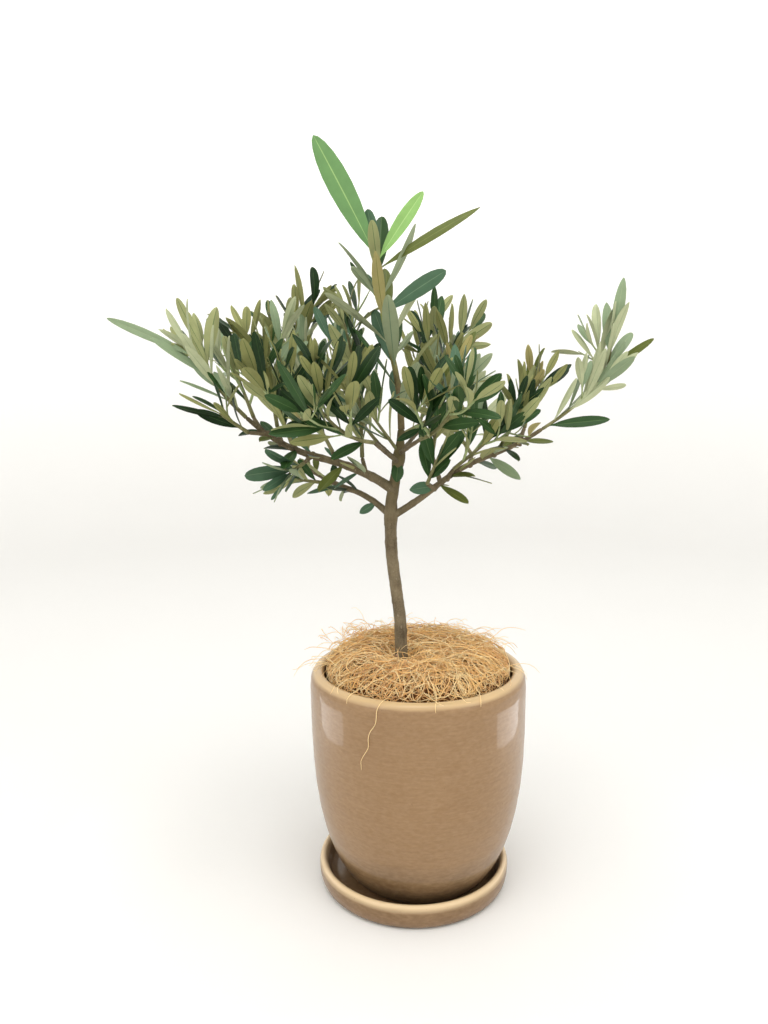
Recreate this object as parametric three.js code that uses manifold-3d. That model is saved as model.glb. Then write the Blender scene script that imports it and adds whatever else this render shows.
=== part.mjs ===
// A young olive tree in a glazed pot that stands on its saucer.
// Millimetres, +Z up. The origin is the centre of the saucer's flat underside, and +Y points away from
// the side from which the tree spreads widest to the left and right.
import * as THREE from "three";
import { mergeVertices } from "three/addons/utils/BufferGeometryUtils.js";
import Module from "manifold-3d";

const wasm = await Module();
wasm.setup();

// Driving dimensions
const clearance = 0.3; // gap kept between pieces that touch
const potCentre = 3; // the pot stands a little to the right of the saucer's centre
const roundSegments = 30;
const saucer = { lip: 55.4, inner: 51.1, foot: 51, height: 14.5, floor: 4.2 };
const pot = { lip: 58.8, mouth: 53.4, belly: 61.3, foot: 37.5, top: 128.8, wall: 6, drain: 7 };
const potBelly = { full: 116.8, from: 110, to: 119 }; // heights between which the wall bulges furthest
const potBottom = saucer.floor + clearance;
const potFloor = potBottom + 7;
const soilTop = 118;
const mulch = { edge: 52.4, shoulder: 43, shoulderTop: 135.5, crown: 20, top: 138.5 };
// The mulch dips round the trunk's foot
const hollow = { centre: [-7, -13], radius: 15, deep: 6.5, floor: 5 };
const leafThickness = 1 / 34; // of a leaf's length, at its middle
const straightEdge = 1.25; // a straight-edged leaf this much wider covers what a rounded one does
const rootDepth = 0.12; // how far past its shoot's axis a leaf starts
const freeBlade = 0.6; // share of a leaf, from its tip, that stays clear of its own mass's other leaves
const limbSides = 6;
const shootSides = 3;
const tinyDetail = 0.05; // smaller steps where leaf and shoot meet are smoothed away
const crown = { left: -152, right: 126, top: 414 }; // how far its longest leaves reach
const looseness = 11; // how far a leaf may reach past the middle between two masses' stems

// The tree's plan, in millimetres and degrees. A heading of 0 points right, 90 back, 180 left and -90 to
// the front, and a rise is measured from level. A rise with several values changes evenly along its limb.
// The trunk climbs in stretches, each leaning from upright towards a heading.
const trunk = {
  name: "trunk",
  foot: [-7, -16, 108],
  stretches: [
    { climb: 50, towards: 90, lean: 8 },
    { climb: 35, towards: 125, lean: 12 },
    { climb: 30, towards: 90, lean: 5 },
    { climb: 25, towards: 0, lean: 10 },
    { climb: 15, towards: 0, lean: 5 },
  ],
  radius: { foot: 4.8, waist: 3.3, tip: 1.9 },
  flare: 24, // how high the foot's swelling reaches
  taperFrom: 218, // the height of the fork
  smoothing: 14, // straight pieces that its curve is drawn in
  sides: 10,
};
// A limb leaves the trunk at a height, or an earlier limb at a share of its length, and is cut clear of it.
const boughs = [
  {
    name: "bough_left_high",
    on: "trunk",
    height: 230,
    heading: 195,
    rise: [35, 15, 45],
    length: 90,
    radii: [2.7, 1.1],
  },
  {
    name: "bough_left_low",
    on: "trunk",
    height: 215,
    heading: 150,
    rise: [40, 15, 25],
    length: 60,
    radii: [1.9, 1.2],
  },
  {
    name: "bough_right",
    on: "trunk",
    height: 215,
    heading: -10,
    rise: [30, 40, 20, 35],
    length: 95,
    radii: [2, 1],
  },
  { name: "bough_front_left", on: "trunk", height: 245, heading: -110, rise: 20, length: 40 },
  { name: "bough_front_right", on: "trunk", height: 250, heading: -75, rise: 15, length: 40 },
  { name: "bough_back_left", on: "trunk", height: 245, heading: 105, rise: 10, length: 45 },
  { name: "bough_back_right", on: "trunk", height: 250, heading: 75, rise: 10, length: 45 },
  { name: "branch_left_side", on: "bough_left_high", share: 0.85, heading: 210, rise: 5, length: 10 },
  { name: "branch_left_outer", on: "bough_left_high", share: 0.75, heading: 115, rise: 55, length: 10 },
  { name: "branch_left_under", on: "bough_left_high", share: 0.55, heading: -115, rise: -20, length: 10 },
  { name: "branch_left_inner", on: "bough_left_high", share: 0.2, heading: 115, rise: 60, length: 10 },
  { name: "branch_left_mid", on: "bough_left_high", share: 0.4, heading: -100, rise: 40, length: 10 },
  { name: "branch_left_near", on: "bough_left_high", share: 0.65, heading: -100, rise: 25, length: 10 },
  { name: "branch_left_back", on: "bough_left_high", share: 0.9, heading: 120, rise: 35, length: 10 },
  { name: "branch_left_low", on: "bough_left_low", share: 0.75, heading: -110, rise: 0, length: 10 },
  { name: "branch_right_inner", on: "bough_right", share: 0.35, heading: 105, rise: 45, length: 20 },
  { name: "branch_right_under", on: "bough_right", share: 0.3, heading: -115, rise: 20, length: 10 },
  { name: "branch_right_low", on: "bough_right", share: 0.4, heading: -70, rise: 35, length: 10 },
  { name: "branch_right_near", on: "bough_right", share: 0.7, heading: -75, rise: 30, length: 10 },
  { name: "branch_right_mid", on: "bough_right", share: 0.85, heading: 55, rise: 50, length: 10 },
  { name: "branch_right_back", on: "bough_right", share: 0.55, heading: 80, rise: 15, length: 15 },
];
const limbRadii = [1.3, 0.95]; // at the two ends of a limb that states none
const limbStep = 11; // longest straight piece in a limb's or a mass's stem

// How an olive shoot grows. A mass may override any of these.
const habit = {
  stem: [1.1, 0.7], // radius at the two ends of the mass's stem
  stemSides: 3,
  bare: 0.12, // share of the stem below its first side shoot
  shoots: 4,
  shootLength: [24, 36],
  shootTip: 0.55, // radius
  tilt: [28, 48], // of a side shoot from the stem
  lift: 0.35, // how strongly shoots turn upwards
  spacing: 10.5, // between leaf pairs
  leafLength: [22, 32],
  leafWidth: [0.2, 0.28], // share of the leaf's length
  spread: [26, 48], // of a leaf from its shoot
  leafLift: 0.2,
  wander: [-0.4, 0.4], // radians by which a side shoot strays from its turn round the stem
  stray: [-0.3, 0.3], // radians by which a leaf strays from its turn round the shoot
  roll: [-0.7, 0.7], // radians by which a blade rolls about its own length
  bow: [-0.02, 0.07], // share of the leaf's length
  tips: [], // the few single leaves that reach the crown's furthest points
};
const goldenTurn = 2.4; // radians round the stem from one side shoot to the next
const lastShoot = 0.95; // share of the stem at which the highest side shoot may stand
const lastLeaf = { at: 0.97, size: 0.8, width: 0.24, lean: 0.15 }; // the leaf at a shoot's end

// A mass's stem grows on from the tip of its limb, or from the trunk at a height. A tip leaf either
// states its length or grows until it reaches one side of the crown.
const masses = [
  {
    name: "foliage_leader",
    seed: 11,
    on: "trunk",
    heading: 180,
    rise: [90, 75, 90],
    length: 90,
    stem: [1.9, 0.9],
    stemSides: 6,
    shoots: 0,
    spacing: 12.5,
    leafLength: [36, 52],
    leafWidth: [0.16, 0.25],
    spread: [34, 62],
    tips: [
      { share: 1, heading: 180, rise: 62, until: "top", width: 13 },
      { share: 0.95, heading: 0, rise: 30, length: 62, width: 6 },
      { share: 1, heading: 0, rise: 55, length: 42, width: 8 },
      { share: 0.7, heading: -15, rise: 30, length: 40, width: 9 },
    ],
  },
  {
    name: "foliage_leader_left",
    seed: 12,
    on: "trunk",
    height: 250,
    heading: -145,
    rise: 50,
    length: 30,
    shoots: 2,
    shootLength: [14, 20],
  },
  {
    name: "foliage_leader_right",
    seed: 13,
    on: "trunk",
    height: 260,
    heading: 40,
    rise: 20,
    length: 30,
    shoots: 2,
    shootLength: [14, 20],
  },
  {
    name: "foliage_left_tip",
    seed: 21,
    on: "bough_left_high",
    heading: 190,
    rise: [45, 60],
    length: 44,
    shoots: 1,
    shootLength: [20, 28],
    spacing: 7,
    leafLength: [22, 36],
    leafWidth: [0.16, 0.24],
    tips: [{ share: 0.9, heading: 190, rise: 25, until: "left", width: 5 }],
  },
  {
    name: "foliage_left_side",
    seed: 22,
    on: "branch_left_side",
    heading: 205,
    rise: 35,
    length: 18,
    shoots: 1,
    shootLength: [12, 16],
    spacing: 5,
    leafLength: [18, 30],
    leafLift: 0.35,
  },
  {
    name: "foliage_left_outer",
    seed: 23,
    on: "branch_left_outer",
    heading: 130,
    rise: 75,
    length: 40,
    shoots: 3,
  },
  {
    name: "foliage_left_near",
    seed: 27,
    on: "branch_left_near",
    heading: -130,
    rise: 65,
    length: 28,
    shoots: 3,
  },
  {
    name: "foliage_left_back",
    seed: 28,
    on: "branch_left_back",
    heading: 130,
    rise: 55,
    length: 28,
    shoots: 3,
  },
  {
    name: "foliage_left_mid",
    seed: 29,
    on: "branch_left_mid",
    heading: -145,
    rise: 60,
    length: 34,
    shoots: 3,
    leafLength: [20, 29],
  },
  {
    name: "foliage_left_low",
    seed: 30,
    on: "branch_left_low",
    heading: -150,
    rise: 10,
    length: 16,
    shoots: 0,
    spacing: 5,
    leafLength: [16, 26],
  },
  {
    name: "foliage_left_rise",
    seed: 24,
    on: "bough_left_low",
    heading: 140,
    rise: [80, 90],
    length: 88,
    leafLength: [24, 36],
  },
  {
    name: "foliage_left_under",
    seed: 25,
    on: "branch_left_under",
    heading: -125,
    rise: -20,
    length: 12,
    shoots: 0,
    spacing: 3.5,
    leafLength: [20, 28],
    leafWidth: [0.28, 0.4],
  },
  {
    name: "foliage_centre_left",
    seed: 26,
    on: "branch_left_inner",
    heading: 135,
    rise: [90, 70],
    length: 75,
    stem: [1.2, 0.6],
  },
  { name: "foliage_front_left", seed: 31, on: "bough_front_left", heading: -125, rise: [5, 40], length: 45 },
  {
    name: "foliage_front_right",
    seed: 32,
    on: "bough_front_right",
    heading: -65,
    rise: [10, 45],
    length: 40,
    shoots: 3,
  },
  {
    name: "foliage_right_tip",
    seed: 41,
    on: "bough_right",
    heading: 10,
    rise: [30, 40, 90],
    length: 60,
    stem: [0.9, 0.6],
    shoots: 2,
    shootLength: [14, 20],
    spacing: 9,
    leafLength: [26, 38],
    leafWidth: [0.16, 0.24],
    spread: [18, 36],
    leafLift: 0.5,
    tips: [
      { share: 0.05, heading: -10, rise: 5, length: 32, width: 6 },
      { share: 0.75, heading: -10, rise: 35, until: "right", width: 4 },
      { share: 1, heading: 20, rise: 80, length: 35, width: 6 },
    ],
  },
  { name: "foliage_centre_right", seed: 52, on: "branch_right_inner", heading: 50, rise: 75, length: 65},
  {
    name: "foliage_right_low",
    seed: 43,
    on: "branch_right_low",
    heading: -45,
    rise: 35,
    length: 30,
    shoots: 3,
    leafLength: [20, 30],
  },
  {
    name: "foliage_right_near",
    seed: 46,
    on: "branch_right_near",
    heading: -30,
    rise: 60,
    length: 20,
    shoots: 2,
    shootLength: [16, 24],
    leafLength: [18, 27],
  },
  {
    name: "foliage_right_under",
    seed: 47,
    on: "branch_right_under",
    heading: -60,
    rise: 55,
    length: 18,
    shoots: 0,
    spacing: 4,
    leafLength: [20, 30],
    leafWidth: [0.28, 0.4],
  },
  {
    name: "foliage_right_mid",
    seed: 44,
    on: "branch_right_mid",
    heading: 50,
    rise: 70,
    length: 20,
    shoots: 2,
    shootLength: [13, 18],
    spacing: 8,
    leafLength: [18, 28],
  },
  {
    name: "foliage_right_back",
    seed: 45,
    on: "branch_right_back",
    heading: 110,
    rise: 30,
    length: 40,
    spacing: 12,
  },
  {
    name: "foliage_back_left",
    seed: 51,
    on: "bough_back_left",
    heading: 125,
    rise: [30, 60],
    length: 70,
    spacing: 13,
  },
  {
    name: "foliage_back_right",
    seed: 55,
    on: "bough_back_right",
    heading: 75,
    rise: [30, 70],
    length: 70,
    spacing: 13,
  },
];

const finish = (colour, roughness) =>
  new THREE.MeshStandardMaterial({ color: colour, roughness, metalness: 0, flatShading: true });
const materials = {
  pot: finish(0x8f7a63, 0.22),
  saucer: finish(0x8c7862, 0.25),
  soil: finish(0x3a2b20, 0.95),
  mulch: finish(0xb98a52, 0.9),
  bark: finish(0x7d6c5d, 0.85),
  leaf: finish(0x4f6f4a, 0.5),
};

const up = new THREE.Vector3(0, 0, 1);
const frontwards = new THREE.Vector3(0, -0.94, 0.34); // the way a tip leaf turns its upper side
const vector = (point) => new THREE.Vector3(...point);
const radians = THREE.MathUtils.degToRad;
const fullTurn = 2 * Math.PI;
const mix = THREE.MathUtils.lerp;

// A sequence of even draws from 0 to 1 that is the same each time for one seed.
function seeded(seed) {
  let state = seed * 7919 + 1;
  return () => {
    state = (state * 48271) % 2147483647;
    return state / 2147483647;
  };
}

// Solids

function solidOf(geometry) {
  geometry.deleteAttribute("normal");
  geometry.deleteAttribute("uv");
  const merged = mergeVertices(geometry, 1e-4);
  return new wasm.Manifold(
    new wasm.Mesh({
      numProp: 3,
      vertProperties: merged.attributes.position.array,
      triVerts: new Uint32Array(merged.index.array),
    }),
  );
}

// The largest body of a solid, without its scraps and with any sealed hollow filled.
function mainBody(solid) {
  return solid.decompose().reduce((best, body) => (body.volume() > best.volume() ? body : best));
}

function meshOf(solid, name, material) {
  const shape = solid.getMesh();
  const geometry = new THREE.BufferGeometry();
  geometry.setAttribute("position", new THREE.BufferAttribute(shape.vertProperties, 3));
  geometry.setIndex(new THREE.BufferAttribute(shape.triVerts, 1));
  geometry.computeVertexNormals();
  const mesh = new THREE.Mesh(geometry, material);
  mesh.name = name;
  return mesh;
}

// Directions square to each stretch of a path, carried along it without twisting.
function framesOf(path) {
  const frames = [];
  let side = new THREE.Vector3(1, 0, 0);
  path.forEach((point, i) => {
    const before = path[Math.max(i - 1, 0)];
    const after = path[Math.min(i + 1, path.length - 1)];
    const tangent = after.clone().sub(before).normalize();
    if (i === 0 && Math.abs(tangent.dot(side)) > 0.8) side = new THREE.Vector3(0, 1, 0);
    side = side.clone().addScaledVector(tangent, -tangent.dot(side)).normalize();
    frames.push({ point, tangent, side, across: side.clone().cross(tangent) });
  });
  return frames;
}

// A closed tube along a path with a radius at each of its points, bent from a straight cylinder.
function tubeGeometry(path, radii, sides, growth = 0) {
  const frames = framesOf(path);
  const steps = path.length - 1;
  const geometry = new THREE.CylinderGeometry(1, 1, 1, sides, steps);
  const place = geometry.attributes.position;
  for (let i = 0; i < place.count; i++) {
    const row = Math.round((place.getY(i) + 0.5) * steps);
    const { point, tangent, side, across } = frames[row];
    const radius = radii[row] + growth;
    const reach = row === 0 ? -growth : row === steps ? growth : 0;
    const moved = point
      .clone()
      .addScaledVector(side, place.getX(i) * radius)
      .addScaledVector(across, place.getZ(i) * radius)
      .addScaledVector(tangent, reach);
    place.setXYZ(i, moved.x, moved.y, moved.z);
  }
  return geometry;
}

// A leaf blade: pointed at both ends, widest past its middle and bowed towards its lower side.
const bellyAt = 0.52;

function leafGeometry(leaf, growth = 0) {
  const { root, along, face, length, width, bow } = leaf;
  const across = face.clone().cross(along);
  const geometry = new THREE.OctahedronGeometry(1);
  const place = geometry.attributes.position;
  for (let i = 0; i < place.count; i++) {
    const x = place.getX(i);
    const middle = 1 - Math.abs(x);
    const reach = x < 0 ? -growth : x > 0 ? length + growth : length * bellyAt;
    const moved = root
      .clone()
      .addScaledVector(along, reach)
      .addScaledVector(across, place.getY(i) * ((width * straightEdge) / 2 + growth))
      .addScaledVector(face, place.getZ(i) * ((length * leafThickness) / 2 + growth) + middle * bow);
    place.setXYZ(i, moved.x, moved.y, moved.z);
  }
  return geometry;
}

// Growth

function lengthOf(path) {
  return path.slice(1).reduce((sum, point, i) => sum + point.distanceTo(path[i]), 0);
}

// The point and the direction at a share of a path's length.
function stationOn(path, share) {
  let left = share * lengthOf(path);
  for (let i = 1; i < path.length; i++) {
    const stretch = path[i].distanceTo(path[i - 1]);
    if (left <= stretch || i === path.length - 1) {
      const tangent = path[i].clone().sub(path[i - 1]).normalize();
      return { point: path[i - 1].clone().addScaledVector(tangent, Math.min(left, stretch)), tangent };
    }
    left -= stretch;
  }
}

// A direction square to a tangent, at an angle round it from the level direction.
function aroundTangent(tangent, angle) {
  const level = Math.abs(tangent.z) > 0.92 ? new THREE.Vector3(1, 0, 0) : up;
  const side = tangent.clone().cross(level).normalize();
  const other = side.clone().cross(tangent);
  return side.multiplyScalar(Math.cos(angle)).addScaledVector(other, Math.sin(angle));
}

function compassDirection(heading, rise) {
  const flat = Math.cos(radians(rise));
  return new THREE.Vector3(
    flat * Math.cos(radians(heading)),
    flat * Math.sin(radians(heading)),
    Math.sin(radians(rise)),
  );
}

// How long a leaf grows from its root before it reaches one side of the crown.
function lengthUntil(side, root, along) {
  const axis = side === "top" ? "z" : "x";
  return (crown[side] - root[axis]) / along[axis];
}

// The part of a direction that is square to another, as a unit vector.
function squareTo(direction, axis) {
  return direction.clone().addScaledVector(axis, -direction.dot(axis)).normalize();
}

// The value at a share of the way through a list of evenly spaced values.
function valueAlong(values, share) {
  const list = [values].flat();
  const place = share * (list.length - 1);
  const from = Math.min(Math.floor(place), Math.max(list.length - 2, 0));
  return mix(list[from], list[from + 1] ?? list[from], place - from);
}

function trunkNodes() {
  const nodes = [vector(trunk.foot)];
  for (const { climb, towards, lean } of trunk.stretches) {
    const way = compassDirection(towards, 90 - lean);
    nodes.push(nodes.at(-1).clone().addScaledVector(way, climb / way.z));
  }
  return nodes;
}

// Swollen at the foot, even up to the fork and tapering from there to the tip.
function trunkRadius(height) {
  const { foot, waist, tip } = trunk.radius;
  const swelling = (foot - waist) * Math.exp(-(((height - trunk.foot[2]) / trunk.flare) ** 2));
  const tapered = (height - trunk.taperFrom) / (axes.trunk.at(-1).z - trunk.taperFrom);
  return mix(waist, tip, THREE.MathUtils.clamp(tapered, 0, 1)) + swelling;
}

// Where a limb or a mass starts: at a height or a share of what it grows on, or at its tip.
function rootOf({ on, height, share }) {
  const path = axes[on];
  if (height === undefined) return stationOn(path, share ?? 1).point;
  const over = path.findIndex((point) => point.z > height);
  const [low, high] = [path[over - 1], path[over]];
  return low.clone().lerp(high, (height - low.z) / (high.z - low.z));
}

function stemAxis(plan) {
  const steps = Math.max(2, Math.round(plan.length / limbStep));
  const path = [rootOf(plan)];
  for (let i = 0; i < steps; i++) {
    const along = compassDirection(plan.heading, valueAlong(plan.rise, (i + 0.5) / steps));
    path.push(path[i].clone().addScaledVector(along, plan.length / steps));
  }
  return path;
}

const axes = { trunk: trunkNodes() };
for (const bough of boughs) axes[bough.name] = stemAxis(bough);

// A mass's shoots and leaves, worked out from its plan: side shoots climb the stem by turns, and each
// shoot carries opposite pairs of leaves, every pair a quarter turn on from the last, and a last leaf.
function growMass(own) {
  const plan = { ...habit, ...own };
  const random = seeded(plan.seed);
  const between = ([low, high]) => mix(low, high, random());
  const spine = stemAxis(plan);
  const shoots = [{ path: spine, radii: plan.stem, sides: plan.stemSides }];
  const leaves = [];

  for (const tip of plan.tips) {
    const along = compassDirection(tip.heading, tip.rise);
    const face = squareTo(frontwards, along);
    const root = stationOn(spine, tip.share).point;
    const length = tip.length ?? lengthUntil(tip.until, root, along);
    leaves.push({ root, along, face, length, width: tip.width, bow: length * 0.03, isTip: true });
  }

  for (let i = 0; i < plan.shoots; i++) {
    const share = mix(plan.bare, lastShoot, (i + 0.5) / plan.shoots);
    const { point, tangent } = stationOn(spine, share);
    const outwards = aroundTangent(tangent, i * goldenTurn + between(plan.wander));
    const tilt = radians(between(plan.tilt));
    const length = between(plan.shootLength) * (1.1 - 0.35 * share);
    const start = tangent.clone().multiplyScalar(Math.cos(tilt)).addScaledVector(outwards, Math.sin(tilt));
    start.addScaledVector(up, plan.lift * 0.6).normalize();
    const end = start.clone().addScaledVector(up, plan.lift).normalize();
    const middle = point.clone().addScaledVector(start, length * 0.5);
    const tip = middle.clone().addScaledVector(end, length * 0.5);
    const radius = mix(plan.stem[0], plan.stem[1], share) * 0.85;
    shoots.push({ path: [point, middle, tip], radii: [radius, plan.shootTip], sides: shootSides });
  }

  for (const shoot of shoots) {
    const length = lengthOf(shoot.path);
    const pairs = Math.floor(length / plan.spacing);
    const firstTurn = random() * Math.PI;
    for (let pair = 0; pair < pairs; pair++) {
      // the pairs stand clear of the shoot's foot, and the middle ones have the largest leaves
      const share = (pair + 0.75) / (pairs + 0.35);
      const { point, tangent } = stationOn(shoot.path, Math.min(share, lastLeaf.at));
      const size = 0.72 + 0.28 * Math.sin((Math.PI * (pair + 0.8)) / (pairs + 0.6));
      for (const half of [0, Math.PI]) {
        const angle = firstTurn + (pair * Math.PI) / 2 + half + between(plan.stray);
        const outwards = aroundTangent(tangent, angle);
        const spread = radians(between(plan.spread));
        const along = tangent.clone().multiplyScalar(Math.cos(spread));
        along.addScaledVector(outwards, Math.sin(spread)).addScaledVector(up, plan.leafLift).normalize();
        const face = squareTo(tangent, along);
        face.applyAxisAngle(along, between(plan.roll));
        const leafLength = between(plan.leafLength) * size;
        const width = leafLength * between(plan.leafWidth);
        const bow = leafLength * between(plan.bow);
        leaves.push({ root: point, along, face, length: leafLength, width, bow });
      }
    }
    if (pairs > 0) {
      const { point, tangent } = stationOn(shoot.path, lastLeaf.at);
      const lean = aroundTangent(tangent, random() * fullTurn);
      const along = tangent.clone().addScaledVector(lean, lastLeaf.lean).normalize();
      const face = squareTo(aroundTangent(tangent, random() * fullTurn), along);
      const leafLength = between(plan.leafLength) * lastLeaf.size;
      const width = leafLength * lastLeaf.width;
      leaves.push({ root: point, along, face, length: leafLength, width, bow: 0 });
    }
  }
  return { plan, spine, shoots, leaves };
}

const grown = masses.map(growMass);

function distanceToPath(point, path) {
  const nearest = new THREE.Vector3();
  const stretch = new THREE.Line3();
  return path.slice(1).reduce((least, end, i) => {
    stretch.set(path[i], end).closestPointToPoint(point, true, nearest);
    return Math.min(least, nearest.distanceTo(point));
  }, Infinity);
}

// Whether points lie in a mass's own space, which ends a little past the middle to the next stem.
function inOwnSpace(points, mass) {
  return points.every((point) => {
    const own = distanceToPath(point, mass.spine);
    return grown.every((other) => other === mass || own < distanceToPath(point, other.spine) + looseness);
  });
}

// Limbs

function limbShape(limb, growth = 0) {
  if (limb === trunk) {
    const curve = new THREE.CatmullRomCurve3(axes.trunk, false, "centripetal");
    const path = curve.getPoints(trunk.smoothing);
    return solidOf(tubeGeometry(path, path.map((point) => trunkRadius(point.z)), trunk.sides, growth));
  }
  const path = axes[limb.name];
  const radii = path.map((_, i) => valueAlong(limb.radii ?? limbRadii, i / (path.length - 1)));
  return solidOf(tubeGeometry(path, radii, limbSides, growth));
}

function boxOf(solid) {
  const { min, max } = solid.boundingBox();
  return new THREE.Box3(vector(min), vector(max));
}

const limbs = [];
for (const limb of [trunk, ...boughs]) {
  const guard = limbShape(limb, clearance);
  let whole = limbShape(limb);
  if (limb === trunk) whole = whole.trimByPlane([0, 0, 1], soilTop + clearance);
  const clear = limbs.reduce((solid, earlier) => solid.subtract(earlier.guard), whole);
  limbs.push({ name: limb.name, solid: mainBody(clear), guard, box: boxOf(guard) });
}

// Foliage: each piece is fused to its mass when it is clear of the limbs and of all other masses.

function shootSolid(shoot, growth = 0) {
  const steps = shoot.path.length - 1;
  const radii = shoot.path.map((_, i) => mix(shoot.radii[0], shoot.radii[1], i / steps));
  return solidOf(tubeGeometry(shoot.path, radii, shoot.sides, growth));
}

const placed = []; // pieces of the masses made so far
const stems = grown.map((mass) => {
  const stem = limbs.reduce((solid, limb) => solid.subtract(limb.guard), shootSolid(mass.shoots[0]));
  const solid = mainBody(stem);
  return { owner: mass.plan.name, solid, box: boxOf(solid) };
});

function isClear(guard, pieces) {
  const box = boxOf(guard);
  return pieces.every((other) => !box.intersectsBox(other.box) || guard.intersect(other.solid).isEmpty());
}

const neighbours = (owner) => [...limbs, ...[...stems, ...placed].filter((piece) => piece.owner !== owner)];
const ownPieces = (owner) => placed.filter((piece) => piece.owner === owner);

function fuseMass(mass) {
  const owner = mass.plan.name;
  let fused = null;
  const join = (solid) => {
    fused = fused ? fused.add(solid) : solid;
    placed.push({ owner, solid, box: boxOf(solid) });
  };
  const [main, ...sideShoots] = mass.shoots;
  const kept = [main];
  join(stems.find((stem) => stem.owner === owner).solid);
  for (const shoot of sideShoots) {
    if (inOwnSpace(shoot.path.slice(1), mass) && isClear(shootSolid(shoot, clearance), neighbours(owner))) {
      join(shootSolid(shoot));
      kept.push(shoot);
    }
  }
  for (const leaf of mass.leaves) {
    const at = (share) => leaf.root.clone().addScaledVector(leaf.along, leaf.length * share);
    const sunk = { ...leaf, root: leaf.root.clone().addScaledVector(leaf.along, -rootDepth) };
    const blade = { ...leaf, root: at(1 - freeBlade), length: leaf.length * freeBlade };
    if (
      kept.some((shoot) => distanceToPath(leaf.root, shoot.path) < 0.01) &&
      (leaf.isTip || inOwnSpace([at(0.5), at(1)], mass)) &&
      isClear(solidOf(leafGeometry(sunk, clearance)), neighbours(owner)) &&
      isClear(solidOf(leafGeometry(blade)), ownPieces(owner))
    ) {
      join(solidOf(leafGeometry(sunk)));
    }
  }
  return mainBody(fused.simplify(tinyDetail));
}

// Pot, saucer, soil and mulch

function turned(profile, centre = 0) {
  const outline = profile.map(([radius, height]) => new THREE.Vector2(radius, height));
  const geometry = new THREE.LatheGeometry(outline, roundSegments);
  geometry.rotateX(Math.PI / 2);
  geometry.translate(centre, 0, 0);
  return solidOf(geometry);
}

// The outer wall: a rounded foot, a curve out to the belly under the lip, and a slight drawing in.
function potWall(height) {
  const share = THREE.MathUtils.clamp((height - potBottom) / (potBelly.full - potBottom), 0, 1);
  return pot.foot + (pot.belly - pot.foot) * (1 - (1 - share) ** 3) ** 0.72;
}

const wallHeights = [12, 22, 34, 50, 70, 92];
const innerBelly = 104; // where the inside is widest

function potProfile() {
  const outer = wallHeights.map((height) => [potWall(height), height]);
  const inner = wallHeights.slice(1).map((height) => [potWall(height) - pot.wall, height]);
  return [
    [pot.drain, potBottom],
    [pot.foot - 2, potBottom],
    [pot.foot + 1.5, potBottom + 2],
    ...outer,
    [pot.belly, potBelly.from],
    [pot.belly, potBelly.to],
    [pot.belly - 0.5, 124.5],
    [pot.lip, pot.top - 1],
    [pot.lip - 2, pot.top],
    [pot.mouth + 1.6, pot.top - 0.2],
    [pot.mouth, pot.top - 2],
    [pot.mouth + 0.4, 120],
    [pot.belly - pot.wall, innerBelly],
    ...inner.reverse(),
    [pot.foot - 4, potFloor],
    [pot.drain, potFloor],
    [pot.drain, potBottom],
  ];
}

function saucerProfile() {
  const { lip, inner, foot, height, floor } = saucer;
  return [
    [0, 0],
    [foot, 0],
    [foot + 1.9, 0.7],
    [foot + 3.2, 2.6],
    [lip - 0.3, 6],
    [lip, 10.5],
    [lip - 0.8, height - 0.9],
    [lip - 2.1, height],
    [inner + 0.6, height - 0.7],
    [inner - 0.6, height - 3],
    [inner - 2.8, floor + 2],
    [inner - 6, floor],
    [0, floor],
  ];
}

function soilProfile() {
  const side = wallHeights.slice(1).map((height) => [potWall(height) - pot.wall - 2 * clearance, height]);
  return [
    [0, potFloor + clearance],
    [pot.foot - 5, potFloor + clearance],
    ...side,
    [pot.belly - pot.wall - 1.2, innerBelly],
    [pot.mouth - clearance, soilTop],
    [0, soilTop],
  ];
}

function mulchProfile() {
  const { edge, shoulder, shoulderTop, crown, top } = mulch;
  return [
    [0, soilTop + clearance],
    [edge, soilTop + clearance],
    [edge + 0.5, 125],
    [edge - 2.4, 130],
    [shoulder, shoulderTop],
    [crown + 12, top],
    [crown, top + 0.5],
    [0, top],
  ];
}

// The dip that is cut from the mulch, round the trunk's foot.
function hollowProfile() {
  const { radius, deep, floor } = hollow;
  const over = mulch.top + 2;
  return [
    [0, mulch.top - deep],
    [floor, mulch.top - deep],
    [radius, mulch.top + 0.4],
    [radius, over],
    [0, over],
  ];
}

// Assembly

const olive = new THREE.Group();
olive.add(meshOf(turned(saucerProfile()), "saucer", materials.saucer));
olive.add(meshOf(turned(potProfile(), potCentre), "pot", materials.pot));
olive.add(meshOf(turned(soilProfile(), potCentre), "potting_soil", materials.soil));
const trunkGuard = limbs[0].guard;
const dip = turned(hollowProfile()).translate([...hollow.centre, 0]);
const coir = mainBody(turned(mulchProfile(), potCentre).subtract(dip).subtract(trunkGuard));
olive.add(meshOf(coir, "coir_mulch", materials.mulch));
for (const limb of limbs) olive.add(meshOf(limb.solid, limb.name, materials.bark));
for (const mass of grown) olive.add(meshOf(fuseMass(mass), mass.plan.name, materials.leaf));

export default olive;
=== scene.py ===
# Potted olive tree: glazed pot and saucer, coir, bark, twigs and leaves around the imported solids.
import math
import random

import bpy
import numpy as np
from mathutils import Matrix, Vector, noise


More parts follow.
